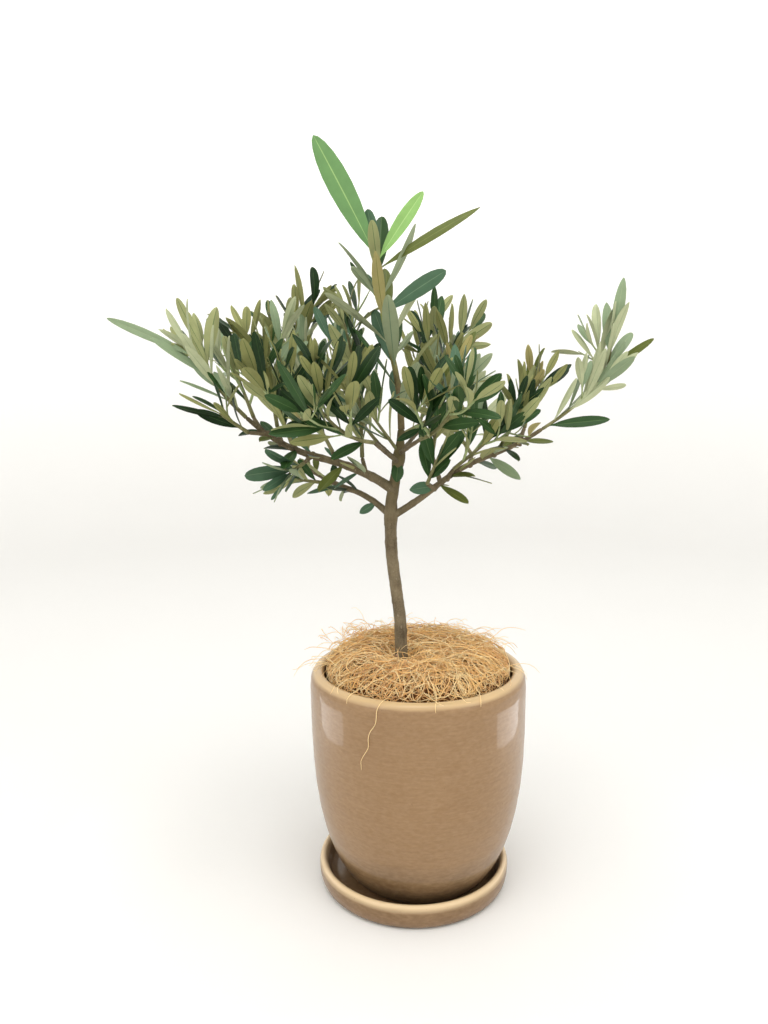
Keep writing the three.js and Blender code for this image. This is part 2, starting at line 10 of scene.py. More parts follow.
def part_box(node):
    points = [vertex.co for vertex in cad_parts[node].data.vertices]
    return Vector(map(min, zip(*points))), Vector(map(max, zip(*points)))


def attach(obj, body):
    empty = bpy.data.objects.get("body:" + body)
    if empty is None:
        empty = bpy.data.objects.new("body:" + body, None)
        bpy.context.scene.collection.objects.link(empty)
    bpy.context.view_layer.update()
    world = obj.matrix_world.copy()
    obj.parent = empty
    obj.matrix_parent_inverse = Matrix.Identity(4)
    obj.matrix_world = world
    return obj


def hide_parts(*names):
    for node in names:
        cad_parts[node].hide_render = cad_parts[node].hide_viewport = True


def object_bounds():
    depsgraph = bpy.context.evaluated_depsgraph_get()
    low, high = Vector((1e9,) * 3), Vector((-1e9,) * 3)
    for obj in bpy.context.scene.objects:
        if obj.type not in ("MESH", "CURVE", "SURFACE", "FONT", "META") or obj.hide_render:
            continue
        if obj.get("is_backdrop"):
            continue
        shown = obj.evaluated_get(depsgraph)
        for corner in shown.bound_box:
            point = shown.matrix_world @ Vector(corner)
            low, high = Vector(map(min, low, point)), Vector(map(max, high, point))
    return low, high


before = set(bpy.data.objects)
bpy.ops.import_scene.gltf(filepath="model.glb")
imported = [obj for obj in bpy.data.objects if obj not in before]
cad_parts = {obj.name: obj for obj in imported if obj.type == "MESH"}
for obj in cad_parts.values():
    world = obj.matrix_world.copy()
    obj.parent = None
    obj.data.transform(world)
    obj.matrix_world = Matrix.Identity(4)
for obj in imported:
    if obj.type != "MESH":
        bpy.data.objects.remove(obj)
solidBox = [list(corner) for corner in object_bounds()]
scene = bpy.context.scene
mm = 0.001


def tone(red, green, blue):
    # a colour as painters' software names it, turned into the linear one that shaders take
    linear = [((c / 255 + 0.055) / 1.055) ** 2.4 if c > 10 else c / 255 / 12.92 for c in (red, green, blue)]
    return (*linear, 1.0)


def mix(low, high, share):
    return low + (high - low) * share


class Wire:
    # one output socket in a material's node tree, so that sums on it read as sums
    def __init__(self, finish, socket):
        self.finish = finish
        self.socket = socket

    def maths(self, operation, first, second):
        return self.finish.node("ShaderNodeMath", {"operation": operation}, {0: first, 1: second})

    def __add__(self, other):
        return self.maths("ADD", self, other)

    def __sub__(self, other):
        return self.maths("SUBTRACT", self, other)

    def __rsub__(self, other):
        return self.maths("SUBTRACT", other, self)

    def __mul__(self, other):
        return self.maths("MULTIPLY", self, other)

    __radd__ = __add__
    __rmul__ = __mul__


class Finish:
    # a material with its Principled shader; settings on the shader's own sockets come as a dictionary
    def __init__(self, name, settings):
        self.material = bpy.data.materials.new(name)
        self.material.use_nodes = True
        self.tree = self.material.node_tree
        self.shader = self.tree.nodes["Principled BSDF"]
        for socket, value in settings.items():
            self.feed(self.shader.inputs[socket], value)

    def feed(self, socket, value):
        if isinstance(value, Wire):
            self.tree.links.new(value.socket, socket)
        else:
            socket.default_value = value

    def node(self, kind, settings=None, values=None, output=0):
        made = self.tree.nodes.new(kind)
        for key, value in (settings or {}).items():
            setattr(made, key, value)
        for key, value in (values or {}).items():
            self.feed(made.inputs[key], value)
        return Wire(self, made.outputs[output])

    def place(self, stretch=(1, 1, 1)):
        # object coordinates in metres, stretched for grain that runs one way
        spot = self.node("ShaderNodeTexCoord", output="Object")
        return self.node("ShaderNodeMapping", {}, {"Vector": spot, "Scale": stretch})

    def height(self):
        spot = self.node("ShaderNodeTexCoord", output="Object")
        return self.node("ShaderNodeSeparateXYZ", {}, {0: spot}, output=2)

    def grain(self, size, detail=4, stretch=(1, 1, 1), roughness=0.55):
        # soft noise from 0 to 1 whose lumps are about that many metres across
        values = {"Vector": self.place(stretch), "Scale": 1 / size, "Detail": detail, "Roughness": roughness}
        return self.node("ShaderNodeTexNoise", {}, values)

    def ramp(self, wire, low, high):
        # 0 below low, 1 above high
        return self.node("ShaderNodeMapRange", {}, {"Value": wire, "From Min": low, "From Max": high})

    def blend(self, share, first, second):
        return self.node("ShaderNodeMix", {"data_type": "RGBA"}, {0: share, 6: first, 7: second}, output=2)

    def bump(self, height, strength, depth):
        return self.node("ShaderNodeBump", {}, {"Height": height, "Strength": strength, "Distance": depth})

    def set(self, socket, value):
        self.feed(self.shader.inputs[socket], value)


def meshPiece(name, points, faces, finishes, faceFinish=None, sharpEdges=None):
    mesh = bpy.data.meshes.new(name)
    mesh.from_pydata(np.asarray(points).tolist(), [], faces)
    for finish in finishes:
        mesh.materials.append(finish.material)
    mesh.polygons.foreach_set("use_smooth", [True] * len(mesh.polygons))
    if faceFinish is not None:
        mesh.polygons.foreach_set("material_index", np.asarray(faceFinish, dtype=np.int32))
    if sharpEdges is not None:
        ends = np.zeros(len(mesh.edges) * 2, dtype=np.int32)
        mesh.edges.foreach_get("vertices", ends)
        rim = np.asarray(sharpEdges)[ends.reshape(-1, 2)]
        mesh.edges.foreach_set("use_edge_sharp", (rim[:, 0] > 0) & (rim[:, 0] == rim[:, 1]))
    mesh.validate()
    mesh.update()
    piece = bpy.data.objects.new(name, mesh)
    scene.collection.objects.link(piece)
    return piece


def keep(piece, slotName, *nodes):
    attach(piece, "root")
    if nodes:
        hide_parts(*nodes)
    return piece


def triangles(piece):
    return sum(len(face.vertices) - 2 for face in piece.data.polygons)
# the tree's plan, in millimetres and degrees, as in the solids: a heading of 0 points right, 90 back,
# 180 left and -90 to the front; a rise with several values changes evenly along its limb

trunkPlan = {
    "foot": (-7, -16, 108),
    "stretches": [  # how far each climbs, the heading it leans to and how far from upright
        (50, 90, 8),
        (35, 125, 12),
        (30, 90, 5),
        (25, 0, 10),
        (15, 0, 5),
    ],
    "radius": {"foot": 4.8, "waist": 3.3, "tip": 1.9},
    "flare": 24,
    "taperFrom": 218,
}
limbRadii = [1.3, 0.95]
limbStep = 11
crown = {"left": -152, "right": 126, "top": 414}  # how far its longest leaves reach
looseness = 11  # how far a leaf may reach past the middle between two masses' stems

# main boughs: the height at which each leaves the trunk, its heading, rise, length and end radii
mainBoughs = {
    "left_high": (230, 195, [35, 15, 45], 90, [2.7, 1.1]),
    "left_low": (215, 150, [40, 15, 25], 60, [1.9, 1.2]),
    "right": (215, -10, [30, 40, 20, 35], 95, [2, 1]),
    "front_left": (245, -110, 20, 40, limbRadii),
    "front_right": (250, -75, 15, 40, limbRadii),
    "back_left": (245, 105, 10, 45, limbRadii),
    "back_right": (250, 75, 10, 45, limbRadii),
}
# side branches: the share of the bough's length at which each leaves it, its heading, rise and length
branches = {
    "bough_left_high": {"left_side": (0.85, 210, 5, 10), "left_outer": (0.75, 115, 55, 10),
                        "left_under": (0.55, -115, -20, 10), "left_inner": (0.2, 115, 60, 10),
                        "left_mid": (0.4, -100, 40, 10), "left_near": (0.65, -100, 25, 10),
                        "left_back": (0.9, 120, 35, 10)},
    "bough_left_low": {"left_low": (0.75, -110, 0, 10)},
    "bough_right": {"right_inner": (0.35, 105, 45, 20), "right_under": (0.3, -115, 20, 10),
                    "right_low": (0.4, -70, 35, 10), "right_near": (0.7, -75, 30, 10),
                    "right_mid": (0.85, 55, 50, 10), "right_back": (0.55, 80, 15, 15)},
}


def limbPlan(name, on, heading, rise, length, radii, **place):
    # place is a height on the trunk or a share of another limb's length
    return {"name": name, "on": on, "heading": heading, "rise": rise, "length": length, "radii": radii,
            **place}


boughs = [limbPlan("bough_" + name, "trunk", heading, rise, length, radii, height=height)
          for name, (height, heading, rise, length, radii) in mainBoughs.items()]
boughs += [limbPlan("branch_" + name, bough, heading, rise, length, limbRadii, share=share)
           for bough, own in branches.items() for name, (share, heading, rise, length) in own.items()]

# how an olive shoot grows; a mass may state its own values
habit = {
    "stem": [1.1, 0.7],
    "bare": 0.12,
    "shoots": 4,
    "shootLength": [24, 36],
    "shootTip": 0.55,
    "tilt": [28, 48],
    "lift": 0.35,
    "spacing": 10.5,
    "leafLength": [22, 32],
    "leafWidth": [0.2, 0.28],
    "spread": [26, 48],
    "leafLift": 0.2,
    "wander": [-0.4, 0.4],
    "stray": [-0.3, 0.3],
    "roll": [-0.7, 0.7],
    "bow": [-0.02, 0.07],
    "tips": [],  # single leaves: share of the stem, heading, rise, length or crown side, width, tint
}
goldenTurn = 2.4  # radians round the stem from one side shoot to the next
lastShoot = 0.95
lastLeaf = {"at": 0.97, "size": 0.8, "width": 0.24, "lean": 0.15}

masses = []


def plantMass(name, seed, on, heading, rise, length, tints, **own):
    masses.append({"name": "foliage_" + name, "seed": seed, "on": on, "heading": heading, "rise": rise,
                   "length": length, "tints": tints.split(), **own})


# each mass: its seed, what it grows on, heading, rise and length, and the tints its sprays are dealt in turn
plantMass("leader", 11, "trunk", 180, [90, 75, 90], 90, "blue mid blue silver olive", stem=[1.9, 0.9],
          shoots=0, spacing=12.5, leafLength=[36, 52], leafWidth=[0.16, 0.25], spread=[34, 62],
          tips=[(1, 180, 62, "top", 13, "young"), (0.95, 0, 30, 62, 6, "olive"),
                (1, 0, 55, 42, 8, "bright"), (0.7, -15, 30, 40, 9, "blue")])
plantMass("leader_left", 12, "trunk", -145, 50, 30, "mid blue", height=250, shoots=2, shootLength=[14, 20])
plantMass("leader_right", 13, "trunk", 40, 20, 30, "mid deep", height=260, shoots=2, shootLength=[14, 20])
plantMass("left_tip", 21, "bough_left_high", 190, [45, 60], 44, "silver mid deep", shoots=1,
          shootLength=[20, 28], spacing=7, leafLength=[22, 36], leafWidth=[0.16, 0.24],
          tips=[(0.9, 190, 25, "left", 5, "silver")])
plantMass("left_side", 22, "branch_left_side", 205, 35, 18, "deep mid", shoots=1, shootLength=[12, 16],
          spacing=5, leafLength=[18, 30], leafLift=0.35)
plantMass("left_outer", 23, "branch_left_outer", 130, 75, 40, "deep mid silver", shoots=3)
plantMass("left_near", 27, "branch_left_near", -130, 65, 28, "deep mid deep", shoots=3)
plantMass("left_back", 28, "branch_left_back", 130, 55, 28, "mid silver", shoots=3)
plantMass("left_mid", 29, "branch_left_mid", -145, 60, 34, "deep mid", shoots=3, leafLength=[20, 29])
plantMass("left_low", 30, "branch_left_low", -150, 10, 16, "mid blue", shoots=0, spacing=5,
          leafLength=[16, 26])
plantMass("left_rise", 24, "bough_left_low", 140, [80, 90], 88, "deep olive silver mid",
          leafLength=[24, 36])
plantMass("left_under", 25, "branch_left_under", -125, -20, 12, "blue", shoots=0, spacing=3.5,
          leafLength=[20, 28], leafWidth=[0.28, 0.4])
plantMass("centre_left", 26, "branch_left_inner", 135, [90, 70], 75, "mid deep deep blue", stem=[1.2, 0.6])
plantMass("front_left", 31, "bough_front_left", -125, [5, 40], 45, "mid deep deep")
plantMass("front_right", 32, "bough_front_right", -65, [10, 45], 40, "mid deep blue", shoots=3)
plantMass("right_tip", 41, "bough_right", 10, [30, 40, 90], 60, "silver", stem=[0.9, 0.6], shoots=2,
          shootLength=[14, 20], spacing=9, leafLength=[26, 38], leafWidth=[0.16, 0.24], spread=[18, 36],
          leafLift=0.5,
          tips=[(0.05, -10, 5, 32, 6, "mid"), (0.75, -10, 35, "right", 4, "olive"),
                (1, 20, 80, 35, 6, "silver")])
plantMass("centre_right", 52, "branch_right_inner", 50, 75, 65, "deep mid olive")
plantMass("right_low", 43, "branch_right_low", -45, 35, 30, "deep mid", shoots=3, leafLength=[20, 30])
plantMass("right_near", 46, "branch_right_near", -30, 60, 20, "deep", shoots=2, shootLength=[16, 24],
          leafLength=[18, 27])
plantMass("right_under", 47, "branch_right_under", -60, 55, 18, "mid", shoots=0, spacing=4,
          leafLength=[20, 30], leafWidth=[0.28, 0.4])
plantMass("right_mid", 44, "branch_right_mid", 50, 70, 20, "mid olive deep", shoots=2, shootLength=[13, 18],
          spacing=8, leafLength=[18, 28])
plantMass("right_back", 45, "branch_right_back", 110, 30, 40, "mid silver deep", spacing=12)
plantMass("back_left", 51, "bough_back_left", 125, [30, 60], 70, "mid blue silver", spacing=13)
plantMass("back_right", 55, "bough_back_right", 75, [30, 70], 70, "blue mid deep", spacing=13)


# growth follows the solids' own rule, and then finer shoots fill in

up = Vector((0, 0, 1))
fullTurn = 2 * math.pi
frontwards = Vector((0, -0.94, 0.34))  # the way a tip leaf turns its upper side


def seeded(seed):
    # the same even draws from 0 to 1 as the solids use
    state = seed * 7919 + 1
    while True:
        state = (state * 48271) % 2147483647
        yield state / 2147483647


def lengthOf(path):
    return sum((b - a).length for a, b in zip(path, path[1:]))


def stationOn(path, share):
    # the point and the direction at a share of a path's length
    left = share * lengthOf(path)
    for i in range(1, len(path)):
        stretch = (path[i] - path[i - 1]).length
        if left <= stretch or i == len(path) - 1:
            tangent = (path[i] - path[i - 1]).normalized()
            return path[i - 1] + tangent * min(left, stretch), tangent
        left -= stretch


def aroundTangent(tangent, angle):
    level = Vector((1, 0, 0)) if abs(tangent.z) > 0.92 else up
    side = tangent.cross(level).normalized()
    return side * math.cos(angle) + side.cross(tangent) * math.sin(angle)


def compassDirection(heading, rise):
    flat = math.cos(math.radians(rise))
    turn = math.radians(heading)
    return Vector((flat * math.cos(turn), flat * math.sin(turn), math.sin(math.radians(rise))))


def leaning(tangent, outwards, tilt, lift):
    # tilted away from a stem and lifted towards the light
    return (tangent * math.cos(tilt) + outwards * math.sin(tilt) + lift).normalized()


def between(draw, bounds):
    return mix(bounds[0], bounds[1], next(draw))


def newLeaf(root, along, face, length, width, bow, **more):
    return {"root": root, "along": along, "face": face, "length": length, "width": width, "bow": bow, **more}


def squareTo(direction, axis):
    return (direction - axis * direction.dot(axis)).normalized()


def lengthUntil(side, root, along):
    # how long a leaf grows from its root before it reaches one side of the crown
    axis = 2 if side == "top" else 0
    return (crown[side] - root[axis]) / along[axis]


def valueAlong(values, share):
    # the value at a share of the way through a list of evenly spaced values
    if not isinstance(values, list):
        return values
    place = share * (len(values) - 1)
    start = min(int(place), len(values) - 2)
    return mix(values[start], values[start + 1], place - start)


def trunkNodes():
    nodes = [Vector(trunkPlan["foot"])]
    for climb, towards, lean in trunkPlan["stretches"]:
        way = compassDirection(towards, 90 - lean)
        nodes.append(nodes[-1] + way * (climb / way.z))
    return nodes


def trunkRadius(height):
    # swollen at the foot, even up to the fork and tapering from there to the tip
    radius = trunkPlan["radius"]
    away = (height - trunkPlan["foot"][2]) / trunkPlan["flare"]
    tapered = (height - trunkPlan["taperFrom"]) / (axes["trunk"][-1].z - trunkPlan["taperFrom"])
    swelling = (radius["foot"] - radius["waist"]) * math.exp(-away * away)
    return mix(radius["waist"], radius["tip"], min(max(tapered, 0), 1)) + swelling


def rootOf(plan):
    # at a height or a share of what it grows on, or at its tip
    path = axes[plan["on"]]
    if "height" not in plan:
        return stationOn(path, plan.get("share", 1))[0]
    for low, high in zip(path, path[1:]):
        if high.z > plan["height"]:
            return low.lerp(high, (plan["height"] - low.z) / (high.z - low.z))


def stemAxis(plan):
    steps = max(2, int(plan["length"] / limbStep + 0.5))
    path = [rootOf(plan)]
    for i in range(steps):
        along = compassDirection(plan["heading"], valueAlong(plan["rise"], (i + 0.5) / steps))
        path.append(path[-1] + along * (plan["length"] / steps))
    return path


def leafPairs(shoot, plan, draw, spray):
    # opposite pairs up a shoot, every pair a quarter turn on, and a last leaf at its end
    leaves = []
    path = shoot["path"]
    pairs = int(lengthOf(path) // plan["spacing"])
    firstTurn = next(draw) * math.pi
    for pair in range(pairs):
        # the pairs stand clear of the shoot's foot, and the middle ones have the largest leaves
        share = (pair + 0.75) / (pairs + 0.35)
        point, tangent = stationOn(path, min(share, lastLeaf["at"]))
        size = 0.72 + 0.28 * math.sin(math.pi * (pair + 0.8) / (pairs + 0.6))
        for half in (0, math.pi):
            angle = firstTurn + pair * math.pi / 2 + half + between(draw, plan["stray"])
            outwards = aroundTangent(tangent, angle)
            spread = math.radians(between(draw, plan["spread"]))
            along = leaning(tangent, outwards, spread, up * plan["leafLift"])
            face = squareTo(tangent, along)
            face.rotate(Matrix.Rotation(between(draw, plan["roll"]), 3, along))
            length = between(draw, plan["leafLength"]) * size
            width = length * between(draw, plan["leafWidth"])
            bow = length * between(draw, plan["bow"])
            leaves.append(newLeaf(point, along, face, length, width, bow, spray=spray, pair=pair))
    if pairs > 0:
        point, tangent = stationOn(path, lastLeaf["at"])
        lean = aroundTangent(tangent, next(draw) * fullTurn)
        along = (tangent + lean * lastLeaf["lean"]).normalized()
        face = squareTo(aroundTangent(tangent, next(draw) * fullTurn), along)
        length = between(draw, plan["leafLength"]) * lastLeaf["size"]
        width = length * lastLeaf["width"]
        leaves.append(newLeaf(point, along, face, length, width, 0, spray=spray, pair=pairs))
    return leaves


def growMass(own):
    plan = {**habit, **own}
    draw = seeded(plan["seed"])

    spine = stemAxis(plan)
    shoots = [{"path": spine, "radii": plan["stem"], "order": 0}]
    leaves = []
    for share, heading, rise, length, width, tint in plan["tips"]:
        along = compassDirection(heading, rise)
        root = stationOn(spine, share)[0]
        if length in crown:
            length = lengthUntil(length, root, along)
        face = squareTo(frontwards, along)
        leaves.append(newLeaf(root, along, face, length, width, length * 0.03, tint=tint))
    for i in range(plan["shoots"]):
        share = mix(plan["bare"], lastShoot, (i + 0.5) / plan["shoots"])
        point, tangent = stationOn(spine, share)
        outwards = aroundTangent(tangent, i * goldenTurn + between(draw, plan["wander"]))
        tilt = math.radians(between(draw, plan["tilt"]))
        length = between(draw, plan["shootLength"]) * (1.1 - 0.35 * share)
        start = leaning(tangent, outwards, tilt, up * plan["lift"] * 0.6)
        end = (start + up * plan["lift"]).normalized()
        middle = point + start * length * 0.5
        radius = mix(plan["stem"][0], plan["stem"][1], share) * 0.85
        shoots.append({"path": [point, middle, middle + end * length * 0.5],
                       "radii": [radius, plan["shootTip"]], "order": 1})
    for spray, shoot in enumerate(shoots):
        leaves += leafPairs(shoot, plan, draw, spray)
    return {"name": plan["name"], "plan": plan, "spine": spine, "shoots": shoots, "leaves": leaves}


def distanceToPath(point, path):
    least = 1e9
    for a, b in zip(path, path[1:]):
        run = b - a
        share = min(max((point - a).dot(run) / run.length_squared, 0), 1)
        least = min(least, (point - a - run * share).length)
    return least


def solidCorners(mass):
    return [[value / mm for value in corner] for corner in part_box(mass["name"])]


def inOwnSpace(points, mass):
    for point in points:
        own = distanceToPath(point, mass["spine"])
        others = [other for other in grown if other is not mass]
        if any(own >= distanceToPath(point, other["spine"]) + looseness for other in others):
            return False
    return True


def clearOfLimbs(points, room):
    for point in points:
        for limb in limbs:
            low, high = limb["reach"]
            if all(low[k] - 4 < point[k] < high[k] + 4 for k in range(3)):
                if distanceToPath(point, limb["axis"]) < max(limb["radii"]) * 0.8 + room:
                    return False
    return True


def insideBox(points, corners, margin):
    return all(low - margin < value < high + margin
               for point in points for value, low, high in zip(point, *corners))


axes = {"trunk": trunkNodes()}
for bough in boughs:
    axes[bough["name"]] = stemAxis(bough)
limbs = [{"name": "trunk"}] + boughs
for limb in limbs:
    limb["axis"] = axes[limb["name"]]
    limb["reach"] = [[op(point[k] for point in limb["axis"]) for k in range(3)] for op in (min, max)]
limbs[0]["radii"] = [trunkRadius(point.z) for point in limbs[0]["axis"]]

grown = [growMass(own) for own in masses]

# finer shoots that fill the crown between the solids' own
fineShoots = {"shares": [0.4, 0.75], "length": [9, 15], "tilt": [35, 60], "leafLength": [15, 24],
              "spacing": 6.5, "radii": [0.5, 0.35]}


def addFineShoots(mass):
    corners = solidCorners(mass)
    draw = seeded(mass["plan"]["seed"] * 13 + 5)

    plan = {**habit, "leafLength": fineShoots["leafLength"], "spacing": fineShoots["spacing"]}
    made = []
    for spray, shoot in enumerate(mass["shoots"]):
        if shoot["order"] == 0 and len(mass["shoots"]) > 1:
            continue
        for share in fineShoots["shares"]:
            point, tangent = stationOn(shoot["path"], share)
            tilt = math.radians(between(draw, fineShoots["tilt"]))
            outwards = aroundTangent(tangent, next(draw) * fullTurn)
            start = leaning(tangent, outwards, tilt, up * 0.2)
            tip = point + start * between(draw, fineShoots["length"])
            fine = {"path": [point, point.lerp(tip, 0.5), tip + up * 0.8], "radii": fineShoots["radii"],
                    "order": 2}
            leaves = leafPairs(fine, plan, draw, spray)
            if insideBox([tip], corners, -3) and inOwnSpace([tip], mass) and clearOfLimbs([tip], 2):
                made.append((fine, leaves))
    for fine, leaves in made:
        mass["shoots"].append(fine)
        mass["leaves"] += leaves


def sortLeaves(mass):
    # a leaf that would leave the mass's space, cross a limb or lie on another leaf is skipped
    corners = solidCorners(mass)
    kept = []
    for leaf in mass["leaves"]:
        points = [leaf["root"] + leaf["along"] * leaf["length"] * share for share in (0.3, 0.5, 0.75, 1)]
        isTip = "tint" in leaf
        if not isTip and not (insideBox(points[1:], corners, 2.5) and inOwnSpace(points[1:], mass)):
            continue
        if not clearOfLimbs(points, 0.6 if isTip else 1.5):
            continue
        middle = np.array(points[1])
        if any(np.linalg.norm(middle - other["middle"]) < 2.2 for other in kept):
            continue
        leaf["middle"] = middle
        kept.append(leaf)
    mass["leaves"] = kept


for mass in grown:
    if mass["plan"]["shoots"] > 0 or mass["plan"]["spacing"] < 50:
        addFineShoots(mass)
    sortLeaves(mass)
print("growth:", sum(len(mass["leaves"]) for mass in grown), "leaves on",
      sum(len(mass["shoots"]) for mass in grown), "shoots")


# bark of the trunk and boughs, and the twigs that carry the leaves
barkShape = {
    "trunkSides": 44,
    "trunkStep": 0.9,  # mm between rings
    "boughSides": 20,
    "boughStep": 1.1,
    "collar": 0.3,  # how much a bough thickens where it leaves its parent
    "collarReach": 4,
    "node": 0.1,  # how much a bough swells at each node, and their spacing
    "nodeSpacing": 7.5,
    "sunkRoot": 1.2,  # mm that its foot is carried back into its parent, so that no gap shows
    "soilLine": 118.3,
    "lumps": 0.16,  # mm, soft lumps
    "furrows": 0.1,  # mm, furrows that run up the stem
    "pores": 0.05,
}
# ring scars, where leaves once sat: a new one each spacing, with its own height and strength
scarShape = {"from": 132, "to": 250, "spacing": 11.5, "proud": [0.25, 0.5], "half": [0.7, 1.4], "seed": 5}
scarDice = random.Random(scarShape["seed"])
trunkScars = [(scarShape["from"] + scarShape["spacing"] * (k + scarDice.uniform(-0.25, 0.25)),
               scarDice.uniform(*scarShape["proud"]), scarDice.uniform(*scarShape["half"]))
              for k in range(int((scarShape["to"] - scarShape["from"]) / scarShape["spacing"]))]
# pruned stubs: height, heading, how wide and how proud
trunkStubs = [(180, -75, 2, 1.2), (188, -120, 1.2, 1.5), (203, -40, 1.1, 0.8), (152, 30, 1.3, 0.8)]


def roundedPath(path, step):
    # a centripetal Catmull-Rom curve through the points, walked in even steps
    knots = [path[0] * 2 - path[1]] + list(path) + [path[-1] * 2 - path[-2]]
    made = []
    for i in range(1, len(knots) - 2):
        group = knots[i - 1:i + 3]
        times = [0]
        for a, b in zip(group, group[1:]):
            times.append(times[-1] + max((b - a).length, 1e-6) ** 0.5)
        count = max(2, round((group[2] - group[1]).length / step))
        for k in range(count):
            t = mix(times[1], times[2], k / count)
            level = group
            for depth in range(1, 4):
                level = [level[j].lerp(level[j + 1], (t - times[j]) / (times[j + depth] - times[j]))
                         for j in range(4 - depth)]
            made.append(level[0])
    made.append(path[-1])
    return made


def tubeMesh(path, radiusAt, sides, relief=None, blunt=0.6):
    # rings square to the path that don't twist, closed at the foot and rounded off at the tip
    points, faces = [], []
    tangents = [(b - a).normalized() for a, b in zip(path, path[1:])]
    tangents.append(tangents[-1])
    side = aroundTangent(tangents[0], 0)
    total = len(path)
    for row, (point, tangent) in enumerate(zip(path, tangents)):
        if 0 < row < total - 1:
            tangent = (tangents[row - 1] + tangents[row]).normalized()
        side = squareTo(side, tangent)
        other = tangent.cross(side)
        radius = radiusAt(row / (total - 1))
        if row == total - 1:
            radius *= blunt
        for k in range(sides):
            angle = fullTurn * k / sides
            outwards = side * math.cos(angle) + other * math.sin(angle)
            spot = point + outwards * radius
            if relief:
                spot = spot + outwards * relief(spot, outwards, radius)
            points.append(spot)
    for row in range(total - 1):
        for k in range(sides):
            a, b = row * sides + k, row * sides + (k + 1) % sides
            faces.append((a, b, b + sides, a + sides))
    foot, tip = len(points), len(points) + 1
    points.append(path[0])
    points.append(path[-1] + tangents[-1] * radiusAt(1) * 0.45)
    last = (total - 1) * sides
    for k in range(sides):
        faces.append((foot, (k + 1) % sides, k))
        faces.append((tip, last + k, last + (k + 1) % sides))
    return points, faces


def barkRelief(spot, strength=1.0):
    shape = barkShape
    lumps = noise.noise(spot * 0.22) * shape["lumps"]
    furrow = noise.noise(Vector((spot.x * 1.5, spot.y * 1.5, spot.z * 0.16)))
    pore = noise.noise(spot * 2.3)
    return strength * (lumps + furrow * shape["furrows"] + pore * shape["pores"])


def trunkRelief(spot, outwards, radius):
    rise = barkRelief(spot, 1.2)
    heading = math.atan2(outwards.y, outwards.x)
    for height, proud, half in trunkScars:
        away = (spot.z - height + 0.8 * math.sin(heading * 2 + height)) / half
        rise += proud * 0.5 * math.exp(-away * away) * (0.6 + 0.4 * math.cos(heading * 3 + height))
    for height, turn, wide, proud in trunkStubs:
        across = (heading - math.radians(turn) + math.pi) % fullTurn - math.pi
        away = math.hypot(across * radius, spot.z - height) / wide
        if away < 3:
            rise += proud * (math.exp(-away ** 4) - 0.45 * math.exp(-(away * 2.2) ** 2))
    # the collars where the boughs leave the trunk
    for limb in limbs[1:len(mainBoughs) + 1]:
        away = (spot - limb["axis"][0]).length / 5
        if away < 2.5:
            rise += 0.45 * math.exp(-away * away)
    return rise


def growTrunk():
    shape = barkShape
    trunk = limbs[0]
    path = roundedPath(trunk["axis"], shape["trunkStep"])
    first = next(i for i, point in enumerate(path) if point.z >= shape["soilLine"])
    share = (shape["soilLine"] - path[first - 1].z) / (path[first].z - path[first - 1].z)
    path = [path[first - 1].lerp(path[first], share)] + path[first:]

    def radiusAt(share):
        return trunkRadius(path[round(share * (len(path) - 1))].z)

    points, faces = tubeMesh(path, radiusAt, shape["trunkSides"], trunkRelief, blunt=0.75)
    return [point if point.z > shape["soilLine"] + 0.05 else Vector((point.x, point.y, shape["soilLine"]))
            for point in points], faces


def growBough(limb):
    shape = barkShape
    path = roundedPath(limb["axis"], shape["boughStep"])
    length = lengthOf(path)

    def radiusAt(share):
        collar = 1 + shape["collar"] * math.exp(-share * length / shape["collarReach"])
        node = 1 + shape["node"] * max(0, math.cos(share * length / shape["nodeSpacing"] * math.pi)) ** 8
        return valueAlong(limb["radii"], share) * collar * node

    back = (path[0] - path[1]).normalized()
    path = [path[0] + back * shape["sunkRoot"]] + path
    return tubeMesh(path, radiusAt, shape["boughSides"],
                    lambda spot, outwards, radius: barkRelief(spot, 0.7))


def barkFinish(name, light, dark, green=None):
    finish = Finish(name, {"Specular IOR Level": 0.3})
    patches = finish.grain(0.009, 4)
    streaks = finish.grain(0.0022, 5, (1, 1, 0.12))
    specks = finish.grain(0.0007, 3)
    share = finish.ramp(patches * 0.5 + streaks * 0.35 + specks * 0.3, 0.42, 0.74)
    colour = finish.blend(share, dark, light)
    lenticels = finish.ramp(finish.grain(0.0012, 2, (1, 1, 0.6)), 0.66, 0.74)
    colour = finish.blend(lenticels * 0.5, colour, tone(176, 164, 138))
    if green:
        higher = finish.ramp(finish.height(), green[1] * mm, green[2] * mm)
        colour = finish.blend(higher, colour, green[0])
    finish.set("Base Color", colour)
    finish.set("Roughness", 0.66 + specks * 0.25)
    finish.set("Normal", finish.bump(streaks * 0.6 + specks * 0.5, 0.55, 0.0006))
    return finish


def tubePiece(name, tubes, finishes, kinds=None):
    # tubes joined into one mesh; kinds says which finish each of them takes
    points, faces, faceFinish = [], [], []
    for number, (newPoints, newFaces) in enumerate(tubes):
        base = len(points)
        points += newPoints
        faces += [tuple(index + base for index in face) for face in newFaces]
        faceFinish += [kinds[number] if kinds else 0] * len(newFaces)
    return meshPiece(name, np.array([list(point) for point in points]) * mm, faces, finishes, faceFinish)


trunkFinish = barkFinish("bark_trunk", tone(134, 120, 94), tone(82, 70, 52), (tone(98, 88, 58), 200, 255))
boughFinish = barkFinish("bark_bough", tone(122, 110, 84), tone(80, 70, 50))
twigFinish = barkFinish("bark_twig", tone(140, 136, 96), tone(98, 98, 60))
greenFinish = barkFinish("bark_young", tone(172, 186, 138), tone(128, 142, 88))
leaderFinish = barkFinish("bark_leader", tone(138, 122, 86), tone(92, 80, 54), (tone(150, 158, 88), 285, 325))

